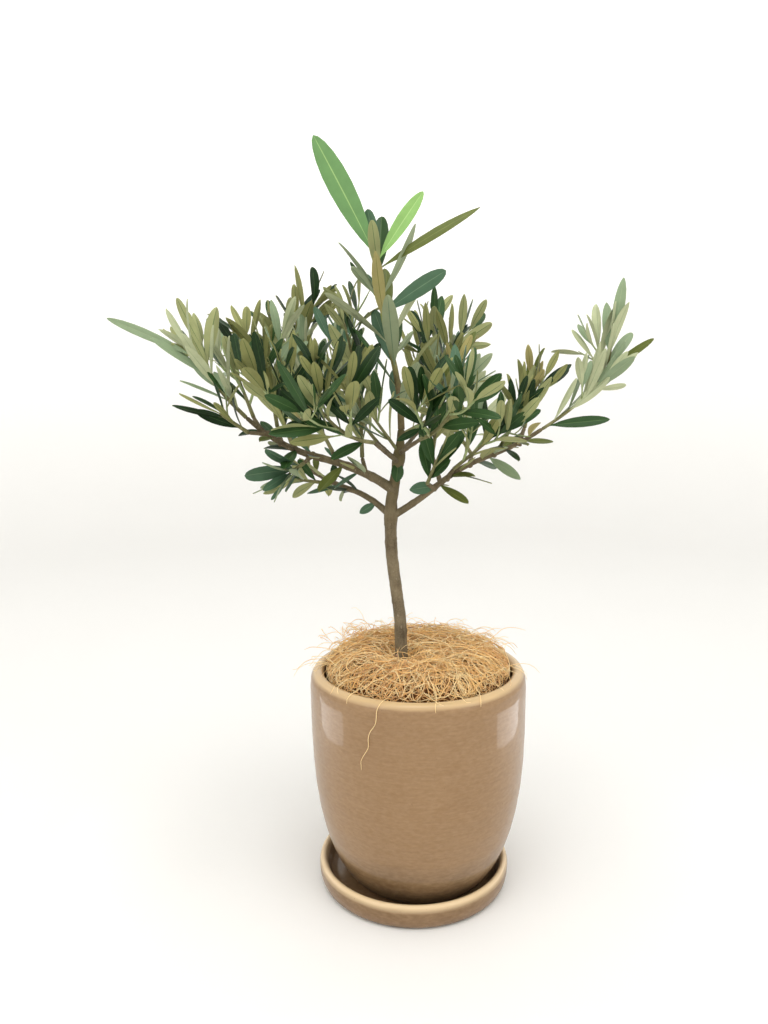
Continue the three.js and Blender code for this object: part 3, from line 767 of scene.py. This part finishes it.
keep(tubePiece("trunk_bark", [growTrunk()], [trunkFinish]), "bark", "trunk")
boughPiece = tubePiece("bough_bark", [growBough(limb) for limb in limbs[1:]], [boughFinish])
keep(boughPiece, "bark", *[limb["name"] for limb in limbs[1:]])
print("bark:", triangles(boughPiece), "triangles on the boughs")


def growTwigs():
    tubes, kinds = [], []
    for mass in grown:
        for shoot in mass["shoots"]:
            order = shoot["order"]
            path = roundedPath(shoot["path"], 2.6 if order < 2 else 4)
            if order > 0:
                path = [path[0] - (path[1] - path[0]) * 0.1] + path[1:]
            sides = 8 if order == 0 else 6
            tubes.append(tubeMesh(path, lambda share: valueAlong(shoot["radii"], share), sides))
            kinds.append(2 if mass["name"] == "foliage_leader" else min(order, 1))
    return tubePiece("twigs", tubes, [twigFinish, greenFinish, leaderFinish], kinds)


twigPiece = keep(growTwigs(), "foliage", *[mass["name"] for mass in grown])
print("twigs:", triangles(twigPiece), "triangles")


# leaves
leafShape = {
    "stations": [0, 0.035, 0.07, 0.12, 0.2, 0.31, 0.44, 0.58, 0.71, 0.83, 0.92, 0.975, 1],
    "petiole": 0.07,  # share of the length that is stalk
    "stalkWidth": 0.9,  # mm
    "across": [-1, -0.56, -0.045, 0.045, 0.56, 1],
    "widest": 0.8,  # larger brings the widest place nearer the tip
    "bluntness": [0.45, 0.75],
    "fold": [0.06, 0.34],  # how far the halves stand up from the midrib, in radians
    "twist": 0.35,
    "curl": [-0.05, 0.07],
    "thickness": 0.34,  # mm
}

# upper side, lower side and midrib of each kind of leaf, as painters' colours
leafTints = {
    "deep": [(25, 51, 19), (144, 146, 92), (58, 86, 42)],
    "mid": [(47, 76, 37), (158, 162, 112), (80, 108, 60)],
    "blue": [(74, 104, 78), (152, 164, 130), (102, 128, 98)],
    "silver": [(136, 154, 120), (184, 190, 152), (148, 164, 128)],
    "olive": [(92, 102, 44), (172, 162, 106), (114, 120, 62)],
    "young": [(106, 146, 90), (160, 182, 130), (152, 184, 116)],
    "bright": [(140, 182, 104), (186, 214, 150), (176, 208, 140)],
}
tintNames = list(leafTints)
# roughness and coat of the three
leafSides = {"upper": (0.46, 0.07), "under": (0.62, 0.0), "rib": (0.5, 0.1)}


def leafFinish(name, colour, roughness, coat):
    finish = Finish(name, {"Coat Weight": coat, "Coat Roughness": 0.4, "Specular IOR Level": 0.2})
    mottle = finish.grain(0.006, 3)
    darker = tuple(c * 0.82 for c in colour[:3]) + (1,)
    lighter = tuple(min(c * 1.14, 1) for c in colour[:3]) + (1,)
    finish.set("Base Color", finish.blend(mottle, darker, lighter))
    finish.set("Roughness", roughness - 0.1 + mottle * 0.2)
    finish.set("Normal", finish.bump(finish.grain(0.0007, 2), 0.25, 0.0002))
    return finish


leafFinishes = [leafFinish("leaf_" + side + "_" + kind, tone(*colour), *leafSides[side])
                for kind, colours in leafTints.items() for side, colour in zip(leafSides, colours)]


def leafMesh(leaf, dice):
    # rings of ten points from the stalk to the tip: six over the upper side, four back under it
    shape = leafShape
    length, width = leaf["length"], leaf["width"]
    along, face = leaf["along"], leaf["face"]
    across = face.cross(along)
    blunt = dice.uniform(*shape["bluntness"])
    fold = dice.uniform(*shape["fold"])
    twist = dice.uniform(-shape["twist"], shape["twist"])
    curl = dice.uniform(*shape["curl"]) * length
    widest = shape["widest"]
    peak = widest / (widest + blunt)
    top = peak ** widest * (1 - peak) ** blunt
    offsets = np.array(shape["across"])
    rings = []
    for share in shape["stations"]:
        blade = max((share - shape["petiole"]) / (1 - shape["petiole"]), 0)
        half = width / 2 * blade ** widest * (1 - blade) ** blunt / top
        half = max(half, shape["stalkWidth"] / 2 * (1 if share < 0.2 else 0.22))
        turn = twist * share
        sideways = across * math.cos(turn) + face * math.sin(turn)
        upwards = face * math.cos(turn) - across * math.sin(turn)
        middle = leaf["root"] + along * length * share
        middle = middle + face * (leaf["bow"] * 4 * share * (1 - share) + curl * share * share)
        sheet = shape["thickness"] * (1 if 0.1 < share < 0.95 else 0.8)
        rise = np.abs(offsets) * half * math.tan(fold) - 0.16 * half * offsets ** 4
        groove = np.where(np.abs(offsets) < 0.1, -0.12, 0)
        upper = [middle + sideways * (o * half) + upwards * (r + g)
                 for o, r, g in zip(offsets, rise, groove)]
        keel = [0.55, 1.35, 1.35, 0.55]
        under = [upper[j] - upwards * sheet * k for j, k in zip((4, 3, 2, 1), keel)]
        rings.append(upper + under)
    return np.array([list(point) for ring in rings for point in ring]) * mm


def leafFaces(count):
    # faces and their finish (0 upper, 1 under, 2 midrib) for one leaf, the same for every leaf
    quads, kinds = [], []
    for ring in range(count - 1):
        for j in range(10):
            a, b = ring * 10 + j, ring * 10 + (j + 1) % 10
            quads.append((a, b, b + 10, a + 10))
            kinds.append(2 if j in (2, 7) else 0 if j < 5 else 1)
    last = (count - 1) * 10
    caps = [tuple(range(9, -1, -1)), tuple(range(last, last + 10))]
    return np.array(quads), caps, np.array(kinds + [1, 0])


def buildLeaves(name, chosen):
    # chosen is pairs of a leaf and its tint
    rings = len(leafShape["stations"])
    quads, caps, kinds = leafFaces(rings)
    dice = random.Random(name)
    points, faces, finishes = [], [], []
    for leaf, tint in chosen:
        base = len(points) * rings * 10
        points.append(leafMesh(leaf, dice))
        faces += (quads + base).tolist()
        faces += [tuple(index + base for index in cap) for cap in caps]
        finishes.append(kinds + 3 * tintNames.index(tint))
    rims = np.tile([1, 0, 0, 0, 0, 2, 0, 0, 0, 0], rings * len(points))
    return meshPiece(name, np.concatenate(points), faces, leafFinishes, np.concatenate(finishes), rims)


def tintedLeaves(mass):
    # sprays are dealt the mass's tints one after another, the leader's leaves pair by pair
    tints = mass["plan"]["tints"]
    turn = "pair" if mass["name"] == "foliage_leader" else "spray"
    return [(leaf, leaf["tint"] if "tint" in leaf else tints[leaf[turn] % len(tints)])
            for leaf in mass["leaves"]]


# single leaves that hang from the bare wood
strays = [
    {"on": "trunk", "height": 246, "heading": -100, "rise": -55, "length": 14, "width": 7, "tint": "mid"},
    {"on": "bough_left_low", "share": 0.2, "heading": -160, "rise": -28, "length": 11, "width": 5,
     "tint": "blue"},
    {"on": "bough_right", "share": 0.32, "heading": 185, "rise": -8, "length": 15, "width": 7,
     "tint": "blue"},
    {"on": "bough_right", "share": 0.66, "heading": -30, "rise": -32, "length": 22, "width": 6,
     "tint": "silver"},
]
strayLeaves = []
for stray in strays:
    along = compassDirection(stray["heading"], stray["rise"])
    strayLeaves.append(newLeaf(rootOf(stray), along, squareTo(frontwards, along), stray["length"],
                               stray["width"], 0.5, tint=stray["tint"]))

# leaves that sit on the boughs themselves, between the masses: from which share of the bough to which
leafyParts = {"bough_left_high": (0.2, 0.95), "bough_left_low": (0.4, 1), "bough_right": (0.3, 0.95)}
boughLeaf = {"spacing": 3.4, "length": [14, 24], "width": [0.22, 0.34], "aside": [20, 75], "rise": [-35, 40],
             "tints": ["mid", "deep", "blue", "olive", "deep"], "seed": 17}


def leavesOnBoughs():
    plan = boughLeaf
    dice = random.Random(plan["seed"])
    made = []
    for bough in limbs:
        start, end = leafyParts.get(bough["name"], (0, 0))
        reach = lengthOf(bough["axis"])
        for k in range(int(reach * (end - start) / plan["spacing"])):
            root, tangent = stationOn(bough["axis"], start + k * plan["spacing"] / reach)
            turn = math.degrees(math.atan2(tangent.y, tangent.x))
            turn += (-1) ** k * dice.uniform(*plan["aside"])
            along = compassDirection(turn, dice.uniform(*plan["rise"]))
            length = dice.uniform(*plan["length"])
            face = squareTo(up + frontwards * dice.uniform(0, 1.5), along)
            width = length * dice.uniform(*plan["width"])
            bow = dice.uniform(-0.5, 1.5)
            leaf = newLeaf(root, along, face, length, width, bow, tint=dice.choice(plan["tints"]))
            if clearOfLimbs([root + along * length * share for share in (0.4, 0.7, 1)], 1.5):
                made.append(leaf)
    return made


strayLeaves += leavesOnBoughs()

regions = {side: [mass for mass in grown if mass["name"].startswith("foliage_" + side)]
           for side in ("left", "right", "back")}
regions["middle"] = [mass for mass in grown if not any(mass in members for members in regions.values())]
for side, members in regions.items():
    chosen = [pair for mass in members for pair in tintedLeaves(mass)]
    if side == "middle":
        chosen += [(leaf, leaf["tint"]) for leaf in strayLeaves]
    piece = buildLeaves("leaves_" + side, chosen)
    keep(piece, "foliage", *[mass["name"] for mass in members])
    print("leaves:", side, triangles(piece), "triangles")


# the glazed pot, its saucer and the soil in it
potShape = {
    "centre": 3,  # mm, how far the pot stands to the right of the trunk's line
    "segments": 144,
    "bottom": 4.5,
    "lip": 58.8,
    "mouth": 53.4,
    "belly": 61.3,
    "foot": 37.5,
    "top": 128.8,
    "wall": 6,
    "drain": 7,
    "waver": 0.22,  # mm, the hand-thrown unevenness
}


def potWall(height):
    shape = potShape
    share = min(max((height - shape["bottom"]) / (shape["top"] - 12 - shape["bottom"]), 0), 1)
    return shape["foot"] + (shape["belly"] - shape["foot"]) * (1 - (1 - share) ** 3) ** 0.72


def softened(profile, rounding, steps=5):
    # every corner of a closed outline is cut back by rounding and bridged with a short curve
    made = []
    count = len(profile)
    for i in range(count):
        before, corner, after = (Vector(profile[(i + k) % count]) for k in (-1, 0, 1))
        if corner.x < 0.01:
            made.append(corner)
            continue
        first = corner.lerp(before, min(rounding / max((before - corner).length, 1e-6), 0.45))
        last = corner.lerp(after, min(rounding / max((after - corner).length, 1e-6), 0.45))
        for k in range(steps + 1):
            t = k / steps
            made.append(first.lerp(corner, t).lerp(corner.lerp(last, t), t))
    return made


def turnedMesh(profile, segments, centre=0, closed=True, waver=0):
    points, faces = [], []
    count = len(profile)
    for k in range(segments):
        angle = fullTurn * k / segments
        for spot in profile:
            radius = spot.x
            if waver and radius > 1:
                around = Vector((math.cos(angle) * 1.3, math.sin(angle) * 1.3, spot.y * 0.02))
                radius += waver * noise.noise(around)
            points.append((centre + radius * math.cos(angle), radius * math.sin(angle), spot.y))
    for k in range(segments):
        nextColumn = (k + 1) % segments * count
        for i in range(count if closed else count - 1):
            a, b = k * count + i, k * count + (i + 1) % count
            c, d = nextColumn + (i + 1) % count, nextColumn + i
            faces.append((a, d, c, b))
    return np.array(points) * mm, faces


def potOutline():
    shape = potShape
    outer = [(shape["drain"], shape["bottom"])]
    outer.append((shape["foot"] - 1.4, shape["bottom"]))
    for height in (5.6, 8, 12, 18, 26, 36, 48, 62, 76, 90, 100):
        outer.append((potWall(height), height))
    outer += [(shape["belly"] - 0.05, 110), (shape["belly"], 119), (shape["belly"] - 0.5, 124.3),
              (shape["lip"] + 0.3, 127.7), (shape["lip"] - 2, shape["top"]), (shape["mouth"] + 1.7, 128.6),
              (shape["mouth"], 126.8), (shape["mouth"] + 0.4, 120), (shape["belly"] - shape["wall"], 104)]
    for height in (90, 70, 50, 30, 16):
        outer.append((potWall(height) - shape["wall"], height))
    outer += [(potWall(11) - shape["wall"] - 3, 11), (shape["drain"], 11)]
    return softened(outer, 1.1, 4)


saucerOutline = softened([
    (0.01, 0.25), (40, 0.25), (43, 0), (51, 0), (52.9, 0.7), (54.2, 2.6), (55.1, 6), (55.4, 10.5),
    (54.7, 13.4), (53.3, 14.5), (51.7, 13.9), (50.5, 11.5), (48.3, 6.2), (45.1, 4.25), (0.01, 4.2),
], 1.2, 4)


def glazeFinish(name, body, pale, deep, reach):
    # reach is the heights, in mm, where the deep foot ends and the body starts, and where the pale lip
    # starts; the deep foot is painted shade and the pale lip painted light from above
    finish = Finish(name, {"Coat Roughness": 0.06, "Coat IOR": 1.45, "Specular IOR Level": 0.2})
    height = finish.height()
    clouds = finish.grain(0.028, 3, (1, 1, 0.5))
    bands = finish.grain(0.0018, 3, (0.05, 0.05, 1), 0.6)
    brushed = finish.grain(0.0007, 3, (0.1, 0.1, 1))
    specks = finish.grain(0.0011, 2)
    peel = finish.grain(0.0016, 4, (0.5, 0.5, 1))
    # darker towards the foot: painted shade, on the pot together with a painted reflection of the saucer
    colour = finish.blend(finish.ramp(height + clouds * 0.012, reach[0] * mm, reach[1] * mm), deep, body)
    wash = finish.ramp(clouds * 0.5 + bands * 0.5, 0.36, 0.68)
    colour = finish.blend(wash * 0.1, colour, tone(200, 168, 130))
    colour = finish.blend(finish.ramp(peel, 0.35, 0.7) * 0.16, colour, tone(196, 166, 128))
    colour = finish.blend(finish.ramp(brushed, 0.3, 0.66) * 0.14, colour, tone(104, 78, 50))
    # paler towards the top: painted light on the lip, on the pot partly also the glaze's own thinning at the
    # rim
    colour = finish.blend(finish.ramp(height + bands * 0.0016, reach[2] * mm, reach[3] * mm), colour, pale)
    pits = finish.ramp(specks, 0.73, 0.77)
    colour = finish.blend(pits * 0.5, colour, tone(92, 68, 46))
    finish.set("Base Color", colour)
    finish.set("Roughness", 0.34 + clouds * 0.12 + pits * 0.2)
    finish.set("Coat Weight", 0.5 - pits * 0.4)
    ripple = finish.grain(0.011, 2, (0.5, 0.5, 1))
    finish.set("Normal", finish.bump(ripple * 0.6 + brushed * 0.06 - pits * 0.25, 0.2, 0.001))
    return finish


# the pot's deep foot is painted shade and saucer reflection; its pale lip is partly thinner glaze, partly
# painted top light
potFinish = glazeFinish("glaze_pot", tone(142, 110, 75), tone(203, 173, 128), tone(38, 28, 18),
                        (11, 44, 126.2, 128.4))
# the saucer's deep lower part is painted shade from the pot; its pale lip is a painted highlight
saucerFinish = glazeFinish("glaze_saucer", tone(124, 95, 64), tone(218, 192, 152), tone(66, 48, 34),
                           (-4, 9, 11, 14.2))
points, faces = turnedMesh(potOutline(), potShape["segments"], potShape["centre"], waver=potShape["waver"])
keep(meshPiece("glazed_pot", points, faces, [potFinish]), "glaze", "pot")
points, faces = turnedMesh(saucerOutline, potShape["segments"], closed=False, waver=0.12)
keep(meshPiece("glazed_saucer", points, faces, [saucerFinish]), "glaze", "saucer")

soilFinish = Finish("potting_soil", {"Roughness": 0.9, "Specular IOR Level": 0.15})
crumbs = soilFinish.grain(0.002, 6)
soilFinish.set("Base Color", soilFinish.blend(crumbs, tone(36, 26, 18), tone(84, 62, 42)))
soilFinish.set("Normal", soilFinish.bump(crumbs, 0.9, 0.0015))
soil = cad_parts["potting_soil"]
for slot in soil.material_slots:
    slot.material = soilFinish.material
print("pot, saucer and soil done")


# the coir: a matted bed, dark as painted shade for the gaps between fibres, with curly fibres laid over it
coirShape = {
    "bed": [(0, 138.5), (20, 139), (32, 138.4), (43, 135.6), (50, 130.4), (52.6, 125), (52.4, 118.3)],
    "hollow": (-7, -13, 15, 6.5),  # the dip round the trunk: its middle, reach and depth
    "clearOfTrunk": 4.2,
    "edge": 52,  # how near the pot's inside the fibres go
    "sunk": 1.8,  # mm that the bed, dark with painted shade, lies below the mat's top
    "mat": [-2.4, 2.2],  # heights of the lowest and the highest fibres against the top
    "fibres": 760,
    "length": [30, 84],
    "radius": [0.16, 0.3],
    "steps": 26,
    "curl": 0.3,  # radians a step
    "arch": [0.5, 4.4],  # mm that the upper fibres' middles stand clear of the mat
    "hairs": 340,
    "hairReach": [8, 30],
    "hairRadius": [0.13, 0.22],
    "strandRadius": [0.14, 0.24],
    "underside": 118.4,  # the bed's height at the middle of its underside
    "spread": 50.5,  # how far from the pot's middle fibres start
    "wander": 0.16,  # radians a step
    "hairFrom": [24, 50],
    "hairSteps": 14,
    "rough": 1.8,  # mm, the unevenness of the bed
}


def bedHeight(x, y):
    # the bed's top at a place in the pot
    profile = coirShape["bed"][:-1]
    radius = math.hypot(x - potShape["centre"], y)
    height = profile[-1][1]
    for (r0, h0), (r1, h1) in zip(profile, profile[1:]):
        if radius <= r1:
            height = mix(h0, h1, max(radius - r0, 0) / (r1 - r0))
            break
    middleX, middleY, reach, depth = coirShape["hollow"]
    away = math.hypot(x - middleX, y - middleY) / reach
    return height - depth * max(0, 1 - away * away) ** 1.4


def bedMesh():
    corners = [Vector(spot) for spot in coirShape["bed"]]
    outline = [a.lerp(b, k / 8) for a, b in zip(corners, corners[1:]) for k in range(8)]
    outline += [corners[-1], Vector((0.01, coirShape["underside"]))]
    outline[0] = Vector((0.01, 138.5))
    points, faces = turnedMesh(outline, 120, potShape["centre"], closed=False)
    points = points / mm
    for spot in points:
        if spot[2] > 119.5:
            drop = 0 if spot[2] < 131 else bedHeight(spot[0], spot[1]) - spot[2]
            wild = noise.fractal(Vector(spot) * 0.16, 0.8, 2.1, 4)
            spot[2] += min(drop, 0) + (wild - 0.4) * coirShape["rough"] - coirShape["sunk"]
            pull = 1 - min(max(0.7 - wild, 0), 1.5) / 50
            spot[0] = potShape["centre"] + (spot[0] - potShape["centre"]) * pull
            spot[1] *= pull
    return points * mm, faces


def fibreTube(path, radius, sides=3):
    return tubeMesh(path, lambda share: radius * (1 - 0.5 * abs(2 * share - 1) ** 3), sides)


def layFibre(dice, level):
    # a curling strand that lies on the bed, or over the others where its level is higher
    shape = coirShape
    spread = shape["spread"] * math.sqrt(dice.random())
    angle = dice.uniform(0, fullTurn)
    x, y = potShape["centre"] + spread * math.cos(angle), spread * math.sin(angle)
    heading = dice.uniform(0, fullTurn)
    length = dice.uniform(*shape["length"])
    step = length / shape["steps"]
    curl = dice.choice((-1, 1)) * abs(dice.gauss(0, shape["curl"]))
    lift = level * dice.uniform(*shape["arch"])
    path = []
    for k in range(shape["steps"] + 1):
        wave = math.sin(k / shape["steps"] * math.pi)
        height = bedHeight(x, y) + mix(*shape["mat"], level) + lift * wave
        height += 0.4 * math.sin(k * 0.8 + angle * 5)
        path.append(Vector((x, y, height)))
        heading += curl + dice.gauss(0, shape["wander"])
        x += math.cos(heading) * step
        y += math.sin(heading) * step
        away = math.hypot(x - potShape["centre"], y)
        if away > shape["edge"]:
            x = potShape["centre"] + (x - potShape["centre"]) * shape["edge"] / away
            y *= shape["edge"] / away
            heading += 0.5 * (1 if curl > 0 else -1)
        trunkX, trunkY = shape["hollow"][:2]
        fromTrunk = max(math.hypot(x - trunkX, y - trunkY), 0.1)
        if fromTrunk < shape["clearOfTrunk"]:
            x = trunkX + (x - trunkX) * shape["clearOfTrunk"] / fromTrunk
            y = trunkY + (y - trunkY) * shape["clearOfTrunk"] / fromTrunk
    return path


def strayHair(dice):
    # a springy end that stands out of the mat
    angle = dice.uniform(0, fullTurn)
    radius = dice.uniform(*coirShape["hairFrom"])
    x, y = potShape["centre"] + radius * math.cos(angle), radius * math.sin(angle)
    spot = Vector((x, y, bedHeight(x, y) - 1))
    heading = angle + dice.gauss(0, 0.9)
    rise = dice.uniform(0.4, 1.4)
    length = dice.uniform(*coirShape["hairReach"])
    path = [spot]
    for k in range(coirShape["hairSteps"]):
        rise -= dice.uniform(0.04, 0.22)
        heading += dice.gauss(0.0, 0.3)
        flat = math.cos(rise)
        direction = Vector((math.cos(heading) * flat, math.sin(heading) * flat, math.sin(rise)))
        spot = spot + direction * length / coirShape["hairSteps"]
        away = math.hypot(spot.x - potShape["centre"], spot.y)
        floor = bedHeight(spot.x, spot.y) + 0.2 if away < 53 else 130.2
        spot.z = max(spot.z, floor)
        path.append(spot.copy())
    return path


# strands that hang over the rim: a long one to the front, and short ones dealt round the pot
hanging = {"long": {"heading": -108, "drop": 38, "drift": -14}, "shorts": 9, "drop": [2, 9], "drift": [-9, 9],
           "inside": 9, "proud": 0.5, "step": 2.5, "radius": 0.17, "fullWidth": 119}


def outsideRadius(height):
    # the pot's wall, and over its belly the curve that draws in to the lip
    full = hanging["fullWidth"]
    if height < full:
        return min(potWall(height), potShape["belly"])
    share = min((height - full) / (potShape["top"] - full), 1)
    return mix(potShape["belly"], potShape["lip"] - 1, share ** 3)


def hangingStrand(heading, drop, drift, dice):
    # out of the mat, over the rim and down the wall, drifting round the pot as it goes
    shape = hanging
    top = potShape["top"] + shape["proud"]
    start = potShape["mouth"] - shape["inside"]
    spots = [(start, bedHeight(potShape["centre"] + start, 0) + 0.5), (start + 4, top + dice.uniform(1.5, 4)),
             (potShape["lip"] - 4, top + 0.4), (potShape["lip"] - 1, top - 0.2)]
    count = max(2, round(drop / shape["step"]))
    for k in range(1, count + 1):
        height = top - drop * k / count
        spots.append((outsideRadius(height) + shape["proud"] + 0.5 * math.sin(k * 1.3) ** 2, height))
    path = []
    for k, (radius, height) in enumerate(spots):
        angle = math.radians(heading + drift * k / len(spots) + 0.8 * math.sin(k * 1.1))
        path.append(Vector((potShape["centre"] + radius * math.cos(angle), radius * math.sin(angle), height)))
    return path


def hangingStrands():
    dice = random.Random(83)
    long = hanging["long"]
    made = [hangingStrand(long["heading"], long["drop"], long["drift"], dice)]
    for k in range(hanging["shorts"]):
        heading = 360 * (k + dice.random()) / hanging["shorts"]
        drop = dice.uniform(*hanging["drop"])
        made.append(hangingStrand(heading, drop, dice.uniform(*hanging["drift"]), dice))
    return made


# short fibres stood up round the trunk's foot, and a tuft at the back: places in mm
standing = {"count": 34, "ring": 5.5, "foot": 131.5, "lean": [-0.5, 0.7], "tall": [4, 15], "bend": 2}
tuft = {"count": 60, "middle": (-30, 26, 136), "spread": (8, 7), "tall": [2, 7], "bend": 3}


def standingStrands():
    made = []
    dice = random.Random(71)
    trunkX, trunkY = coirShape["hollow"][:2]
    for k in range(standing["count"]):
        angle = dice.uniform(0, fullTurn)
        outX, outY, ring = math.cos(angle), math.sin(angle), standing["ring"]
        foot = Vector((trunkX + ring * outX, trunkY + ring * outY, standing["foot"]))
        lean = Vector((outX * dice.uniform(*standing["lean"]), outY * dice.uniform(*standing["lean"]), 1))
        tall = dice.uniform(*standing["tall"])
        bend = Vector((dice.gauss(0, standing["bend"]), dice.gauss(0, standing["bend"]), 0))
        made.append([foot, foot + lean * tall * 0.5 + bend * 0.4, foot + lean * tall + bend])
    tuftX, tuftY, tuftZ = tuft["middle"]
    for k in range(tuft["count"]):
        foot = Vector((dice.gauss(tuftX, tuft["spread"][0]), dice.gauss(tuftY, tuft["spread"][1]), tuftZ))
        lean = Vector((dice.gauss(-0.3, 0.6), dice.gauss(0.3, 0.5), 1)) * dice.uniform(*tuft["tall"])
        bend = Vector((dice.gauss(0, tuft["bend"]), dice.gauss(0, tuft["bend"]), -1))
        made.append([foot, foot + lean * 0.6, foot + lean + bend * 0.6, foot + lean * 0.9 + bend * 1.4])
    return made


def coirFinish(name, light, dark, roughness=0.85):
    finish = Finish(name, {"Specular IOR Level": 0.2, "Sheen Weight": 0.3, "Sheen Roughness": 0.4})
    strandy = finish.grain(0.003, 4)
    fine = finish.grain(0.0006, 3)
    finish.set("Base Color", finish.blend(strandy * 0.6 + fine * 0.4, dark, light))
    finish.set("Roughness", roughness - fine * 0.12)
    finish.set("Normal", finish.bump(fine, 0.6, 0.0004))
    return finish


# the bed's dark browns are painted shade that shows in the gaps between the fibres
bedShadeFinish = coirFinish("coir_bed", tone(138, 92, 50), tone(64, 40, 20), 0.95)
fibreFinishes = [
    coirFinish("coir_gold", tone(255, 220, 150), tone(248, 190, 116)),
    coirFinish("coir_tan", tone(255, 206, 136), tone(232, 170, 104)),
    coirFinish("coir_brown", tone(214, 162, 104), tone(168, 118, 68)),
    coirFinish("coir_straw", tone(255, 236, 184), tone(255, 214, 148)),
]


def growCoir():
    dice = random.Random(2024)
    tubes, kinds = [], []
    for k in range(coirShape["fibres"]):
        path = layFibre(dice, k / coirShape["fibres"])
        tubes.append(fibreTube(path, dice.uniform(*coirShape["radius"])))
        kinds.append(dice.choices((0, 1, 2, 3), (40, 20, 6, 34))[0])
    for k in range(coirShape["hairs"]):
        tubes.append(fibreTube(strayHair(dice), dice.uniform(*coirShape["hairRadius"])))
        kinds.append(dice.choice((0, 3)))
    for strand in standingStrands():
        tubes.append(fibreTube(roundedPath(strand, 1.5), dice.uniform(*coirShape["strandRadius"])))
        kinds.append(dice.choice((0, 1, 3)))
    for strand in hangingStrands():
        tubes.append(fibreTube(roundedPath(strand, 1.2), hanging["radius"], 5))
        kinds.append(3)
    return tubePiece("coir_fibres", tubes, fibreFinishes, kinds)


points, faces = bedMesh()
keep(meshPiece("coir_bed", points, faces, [bedShadeFinish]), "coir", "coir_mulch")
coirPiece = keep(growCoir(), "coir", "coir_mulch")
print("coir:", triangles(coirPiece), "triangles")


# a pale seamless floor, soft lights and the camera
studio = {
    "flat": 1.05,  # metres, radius of the floor's level part
    "bend": 0.5,
    "tall": 2.4,
    "floorTone": tone(236, 235, 232),
    "glow": tone(172, 172, 172),
    "lens": 28.83,
    "cameraPlace": (-0.01542, -0.44904, 0.29044),
    "cameraTilt": 80.76,  # degrees up from looking straight down
    "cameraRoll": -0.58,
}


def buildBackdrop():
    # a level floor that bends up into a round wall; the outline is in millimetres, as the pot's is
    flat, bend = studio["flat"], studio["bend"]
    outline = [(0.001, 0)] + [(flat * k / 8, 0) for k in range(1, 9)]
    for k in range(1, 13):
        angle = math.pi / 2 * k / 12
        outline.append((flat + bend * math.sin(angle), bend * (1 - math.cos(angle))))
    outline.append((flat + bend, studio["tall"]))
    points, faces = turnedMesh([Vector(spot) / mm for spot in outline], 96, closed=False)
    finish = Finish("studio_floor", {"Roughness": 0.7, "Specular IOR Level": 0.2})
    mottle = finish.grain(0.25, 2) * 0.2
    finish.set("Base Color", finish.blend(mottle, studio["floorTone"], tone(226, 224, 220)))
    # the wall is lit from behind, as a light tent's is, and the floor isn't
    higher = finish.ramp(finish.height(), 0, 0.7)
    finish.set("Emission Color", finish.blend(higher, tone(0, 0, 0), studio["glow"]))
    finish.set("Emission Strength", 1.0)
    meshPiece("studio_backdrop", points, faces, [finish])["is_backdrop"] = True


def softBox(name, place, target, width, height, power, colour=(1, 1, 1)):
    light = bpy.data.lights.new(name, "AREA")
    light.shape = "RECTANGLE"
    light.size = width
    light.size_y = height
    light.energy = power
    light.color = colour
    lamp = bpy.data.objects.new(name, light)
    lamp.location = place
    lamp.rotation_euler = (Vector(target) - Vector(place)).to_track_quat("-Z", "Y").to_euler()
    scene.collection.objects.link(lamp)


buildBackdrop()
softBox("light_left", (-0.95, -0.85, 1.1), (0, 0, 0.18), 0.7, 0.9, 2.4, (1, 0.99, 0.97))
softBox("light_right", (1.0, -0.75, 1.0), (0, 0, 0.18), 0.6, 0.9, 2.0, (1, 0.99, 0.98))
softBox("light_top", (0.0, -0.35, 1.5), (0, 0, 0.2), 0.9, 0.9, 12)
# two low strips that show only as soft patches in the glaze
for name, place, wide, tall in (("strip_left", (-0.23, 0.02, 0.033), 0.15, 0.05),
                                ("strip_right", (0.236, 0.03, 0.026), 0.17, 0.04)):
    softBox(name, place, (0.003, place[1], place[2]), wide, tall, 0.06)
    bpy.data.objects[name].visible_camera = False
    bpy.data.objects[name].visible_diffuse = False

world = bpy.data.worlds.new("studio_world")
world.use_nodes = True
world.node_tree.nodes["Background"].inputs["Color"].default_value = (0.9, 0.93, 1.0, 1)
world.node_tree.nodes["Background"].inputs["Strength"].default_value = 0.12
scene.world = world
scene.view_settings.view_transform = "Standard"

lens = bpy.data.cameras.new("camera")
lens.lens = studio["lens"]
lens.sensor_width = 36
lens.sensor_fit = "AUTO"
lens.clip_start = 0.01
camera = bpy.data.objects.new("camera", lens)
turn = (Matrix.Rotation(math.radians(studio["cameraTilt"]), 4, "X")
        @ Matrix.Rotation(math.radians(studio["cameraRoll"]), 4, "Z"))
camera.matrix_world = Matrix.Translation(Vector(studio["cameraPlace"])) @ turn
scene.collection.objects.link(camera)
scene.camera = camera
print("studio and camera done")


visualBox = [list(corner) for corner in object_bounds()]
for side, *reach in zip("XYZ", *solidBox, *visualBox):
    print("size", side, "solid and visual, low and high:", [round(value, 4) for value in reach])
